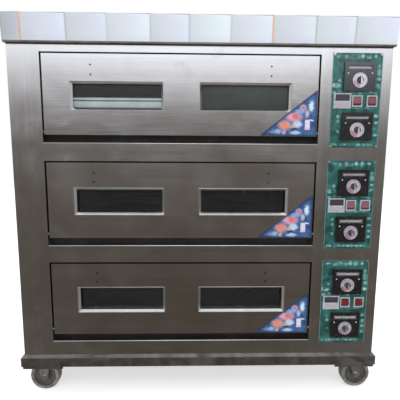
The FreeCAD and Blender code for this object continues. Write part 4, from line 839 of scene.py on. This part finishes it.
plate = slab("upper_deck_upper_scale", (SLOT_WIDE, 0.0006, SLOT_TALL),
             (case_middle, face + PLATE_IN, SLOT_MIDDLE), 0.0002)
cover = slab("upper_deck_upper_cover", (SLOT_WIDE, 0.0010, SLOT_TALL),
             (case_middle, face + COVER_IN, SLOT_MIDDLE), 0.0003)
needle_tip = Vector((case_middle - NEEDLE_LEFT, face + NEEDLE_IN, SLOT_MIDDLE - NEEDLE_LONG / 2))
needle = start("cylinder", "upper_deck_upper_needle", vertices=10, radius=0.0005, depth=NEEDLE_LONG,
               location=(needle_tip.x, needle_tip.y, SLOT_MIDDLE))
settle()
edit(needle, lambda vertex: vertex.co.z < SLOT_MIDDLE, "VERT")
bpy.ops.transform.resize(value=(0.3, 0.3, 1.0), center_override=needle_tip)
leave()
edit(needle, lambda polygon: abs(polygon.normal.z) > 0.9)
bpy.ops.mesh.inset(thickness=0.0001)
leave()
print("one meter:", [(piece.name, len(piece.data.polygons)) for piece in (plate, cover, needle)])

# %% [markdown]
# ## Pilot lenses
# Two small domed lenses sit either side of each dial. A dome is the cap of a sphere on a short collar: the
# sphere is cut at the case face, and the cut edge is extruded back and closed, so the lens has a foot in
# the case.

# %% Model one pair of lenses
LENS_ASIDE, LENS_ABOVE, LENS_RADIUS, LENS_FOOT = 0.0385, 0.0215, 0.0026, 0.0008
dial_middle = (dial_low + dial_high) / 2
lenses = []
for side in (-1, 1):
    place = (dial_middle.x + side * LENS_ASIDE, face + LENS_FOOT, dial_middle.z + LENS_ABOVE)
    lens = start("uv_sphere", "upper_deck_upper_lens", segments=20, ring_count=10, radius=LENS_RADIUS,
                 location=place, rotation=(math.pi / 2, 0, 0))
    settle()
    edit(lens, every)
    bpy.ops.mesh.bisect(plane_co=(0, face, 0), plane_no=(0, 1, 0), clear_outer=True)
    bpy.ops.mesh.extrude_region_move(TRANSFORM_OT_translate={"value": (0, LENS_FOOT, 0)})
    bpy.ops.mesh.edge_face_add()
    leave()
    bpy.ops.object.shade_smooth_by_angle(angle=math.radians(40))
    lenses.append(lens)
lenses[0].select_set(True)
bpy.context.view_layer.objects.active = lenses[0]
bpy.ops.object.join()
pair = lenses[0]
pair.name = pair.data.name = "upper_deck_upper_lenses"
print("pair of lenses", len(pair.data.polygons), "faces")

# %% [markdown]
# ## Six controllers
# The meter and the lenses are modelled on the uppermost controller and copied down: one case step to the
# lower heat controller, and one deck pitch to the next deck.

# %% Copy meters and lenses to all six controllers
for row, deck in enumerate(DECKS):
    for place, case in enumerate(CASES):
        step = Vector((0, 0, -DECK_PITCH * row)) + CASE_STEP * place
        for piece, kind, finish in ((plate, "scale", SCALE), (cover, "cover", COVER),
                                    (needle, "needle", NEEDLE), (pair, "lenses", LENS)):
            here = copy_of(piece, f"{deck}_deck_{case}_{kind}", step) if row or place else piece
            dress(here, finish, "oven_carcass")

# %% [markdown]
# ## Door seals
# A round braided seal runs round each chamber's mouth, in the gap that the closed door leaves. It is a loop
# of woven glass fibre. The loop is a rectangle with rounded corners, swept as a tube, and its braid is a
# bump, with the yarn darker in the weave's grooves as painted shade.

# %% Sew the seals
YARN = 0.0008
SEAL_RADIUS, SEAL_CORNER, SEAL_MARGIN = 0.0021, 0.012, 0.008
SEAL_HALF_TALL, SEAL_ABOVE_DOOR_FOOT = 0.1110, 0.1315


def braid():
    f = new_finish("glass_braid")
    point = metres(f)
    x, z = axis(f, point, "X"), axis(f, point, "Z")
    one, two = maths(f, "PINGPONG", x + z, YARN), maths(f, "PINGPONG", x - z, YARN)
    weave = maths(f, "MAXIMUM", one, two) * (1 / YARN)
    soot = noise(f, point, 24.0, 5.0, 0.6)
    # The yarn is painted darker in the weave's grooves and lighter on its crests: painted shade, with soot
    # over it.
    yarn_and_groove_shade = mix(f, (0.20, 0.185, 0.16, 1), (0.48, 0.45, 0.40, 1), weave)
    yarn_and_groove_shade = mix(f, yarn_and_groove_shade, (0.06, 0.045, 0.035, 1), soft(f, soot, 0.5, 0.75) * 0.7)
    return coat_with(f, {"Base Color": yarn_and_groove_shade, "Roughness": soot * 0.1 + 0.85,
                         "Normal": bump(f, weave, 0.6, 0.0005)})


BRAID = braid()
hearth_low, hearth_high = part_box("hearth_plates")
seal_y = (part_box("upper_door_inner_pan")[1].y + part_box("upper_chamber")[0].y) / 2
seal_middle = ((hearth_low.x + hearth_high.x) / 2, seal_y, door_low.z + SEAL_ABOVE_DOOR_FOOT)
seal_wide = hearth_high.x - hearth_low.x + 2 * SEAL_MARGIN
seal = swept_frame("upper_door_seal", seal_middle, seal_wide, 2 * SEAL_HALF_TALL, SEAL_CORNER, SEAL_RADIUS)
dress_each_deck(seal, "door_seal", BRAID, "oven_carcass")

# %% [markdown]
# ## Folded edges
# The free edge of each rail and of each window opening is folded back on itself, which stiffens the sheet
# and takes off its sharp edge. The fold is a slim rounded lip that catches the light from above, so it
# shows as a fine bright line. A rail's lip is a bar with rounded ends. A window's lip is a rounded frame,
# swept like the seals.

# %% Fold the rails' edges
LIP, LIP_PAST_DOOR, GAP_UNDER_DOOR = 0.0022, 0.005, 0.025
RAIL_LIP_IN = 0.0010  # behind the rails' front face
door_middle, door_wide = (door_low.x + door_high.x) / 2, door_high.x - door_low.x
bar = start("cylinder", "upper_rail_lip", vertices=16, radius=LIP, depth=door_wide + 2 * LIP_PAST_DOOR,
            location=(door_middle, FRONT + RAIL_LIP_IN, door_low.z - GAP_UNDER_DOOR - LIP * 0.8),
            rotation=(0, math.pi / 2, 0))
settle()
edit(bar, lambda face: abs(face.normal.x) > 0.9)
bpy.ops.mesh.bevel(offset=0.0008, segments=2, affect="EDGES")
leave()
bpy.ops.object.shade_smooth_by_angle(angle=math.radians(50))
dress_each_deck(bar, "rail_lip", LEVEL, "oven_carcass")

# %% Fold the windows' edges
WINDOW_WIDE, WINDOW_TALL, WINDOW_DROP, WINDOW_ASIDE = 0.2965, 0.0895, 0.083, 0.0577
WINDOW_CORNER, WINDOW_LIP, WINDOW_LIP_IN = 0.003, 0.0011, 0.0006
window_z = door_high.z - WINDOW_DROP - WINDOW_TALL / 2
for side, way in (("left", -1), ("right", 1)):
    window_x = door_middle + way * (WINDOW_ASIDE + WINDOW_WIDE / 2)
    lip = swept_frame(f"upper_{side}_window_lip", (window_x, FRONT + WINDOW_LIP_IN, window_z),
                      WINDOW_WIDE, WINDOW_TALL, WINDOW_CORNER, WINDOW_LIP)
    dress_each_deck(lip, f"{side}_window_lip", DOOR, "{deck}_door")

# %% [markdown]
# ## The floor
# The oven stands on a plain pale floor. It is divided and given a faint cloud, and it glows a little, so
# that it meets the white surround with no edge. It is left out of mirror reflections, so that the steel
# isn't lit from below.

# %% Floor
floor = start("plane", "studio_floor", size=14.0)
edit(floor, every)
bpy.ops.mesh.subdivide(number_cuts=6)
leave()
f = new_finish("studio_floor")
cloudy = mix(f, grey(0.88), grey(0.93), noise(f, metres(f), 3.0, 4.0))
floor.data.materials.append(coat_with(f, {"Base Color": cloudy, "Roughness": 0.9,
                                          "Emission Color": (1, 1, 1, 1), "Emission Strength": 0.5}))
floor.visible_glossy = False
print("floor", len(floor.data.polygons), "faces")

# %% [markdown]
# ## The surround
# Polished steel shows what it faces. So the surround in front of the oven is bright and cool above eye
# level and dim and warm below it, which gives the sheets their fall from near white at the crown to brown
# at the casters. Real walls could do this, but a world colour that changes with direction is simpler and
# costs nothing to light. To the sides and behind it is a plainer, brighter room. Seen directly, it is
# white.

# %% Surround
bpy.context.scene.world = bpy.data.worlds.new("surround")
f = Finish(bpy.context.scene.world)
toward = f.node("TexCoord", {}, {}, "Generated")
up = axis(f, toward, "Z")
SKY = [(0.0, (0.070, 0.059, 0.048, 1)), (0.30, (0.098, 0.084, 0.068, 1)), (0.43, (0.126, 0.111, 0.095, 1)),
       (0.50, (0.165, 0.149, 0.134, 1)), (0.536, (0.135, 0.122, 0.116, 1)), (0.556, (0.28, 0.262, 0.266, 1)),
       (0.588, (0.70, 0.695, 0.73, 1)), (0.618, (1.60, 1.68, 1.84, 1)), (0.66, (1.76, 1.85, 2.02, 1)),
       (0.72, (1.30, 1.36, 1.50, 1)), (1.0, (0.60, 0.63, 0.70, 1))]
ROOM = [(0.0, (0.30, 0.29, 0.285, 1)), (0.45, (0.34, 0.335, 0.335, 1)), (0.60, (0.80, 0.82, 0.86, 1)),
        (1.0, (0.62, 0.65, 0.72, 1))]
glow = f.node("ValToRGB", {"stops": SKY}, {"Fac": up * 0.5 + 0.5})
room = f.node("ValToRGB", {"stops": ROOM}, {"Fac": up * 0.5 + 0.5})
glow = mix(f, glow, room, soft(f, axis(f, toward, "Y"), -0.84, -0.60))
seen = f.node("LightPath", {}, {}, "Is Camera Ray")
surround = f.node("Background", {}, {"Color": mix(f, glow, (1.0, 1.0, 1.0, 1), seen), "Strength": 1.0})
f.node("OutputWorld", {}, {"Surface": surround})
print("surround", len(SKY), "stops in front,", len(ROOM), "to the sides and behind")

# %% [markdown]
# ## Two soft lights
# The surround lights the steel, but paint, plastic and print need light of their own. Two large area lights
# give it without hard shadows, a cool one in front and above and a stronger one straight overhead.

# %% Lights
def soft_light(name, place, aim, size, watts, colour=(1, 1, 1)):
    lamp = bpy.data.lights.new(name, "AREA")
    lamp.shape, lamp.energy, lamp.color = "RECTANGLE", watts, colour
    lamp.size, lamp.size_y = size
    light = bpy.data.objects.new(name, lamp)
    bpy.context.collection.objects.link(light)
    turned = (Vector(aim) - Vector(place)).to_track_quat("-Z", "Y").to_matrix().to_4x4()
    light.matrix_world = Matrix.Translation(place) @ turned


soft_light("front_top", (0.3, -2.2, 2.7), (0, -0.3, 0.8), (2.4, 1.2), 14, (0.95, 0.97, 1.0))
soft_light("overhead", (0, 0.2, 3.4), (0, 0.2, 0), (3.0, 3.0), 32)
view = bpy.context.scene.view_settings
view.view_transform = "Standard"
view.look = "None"
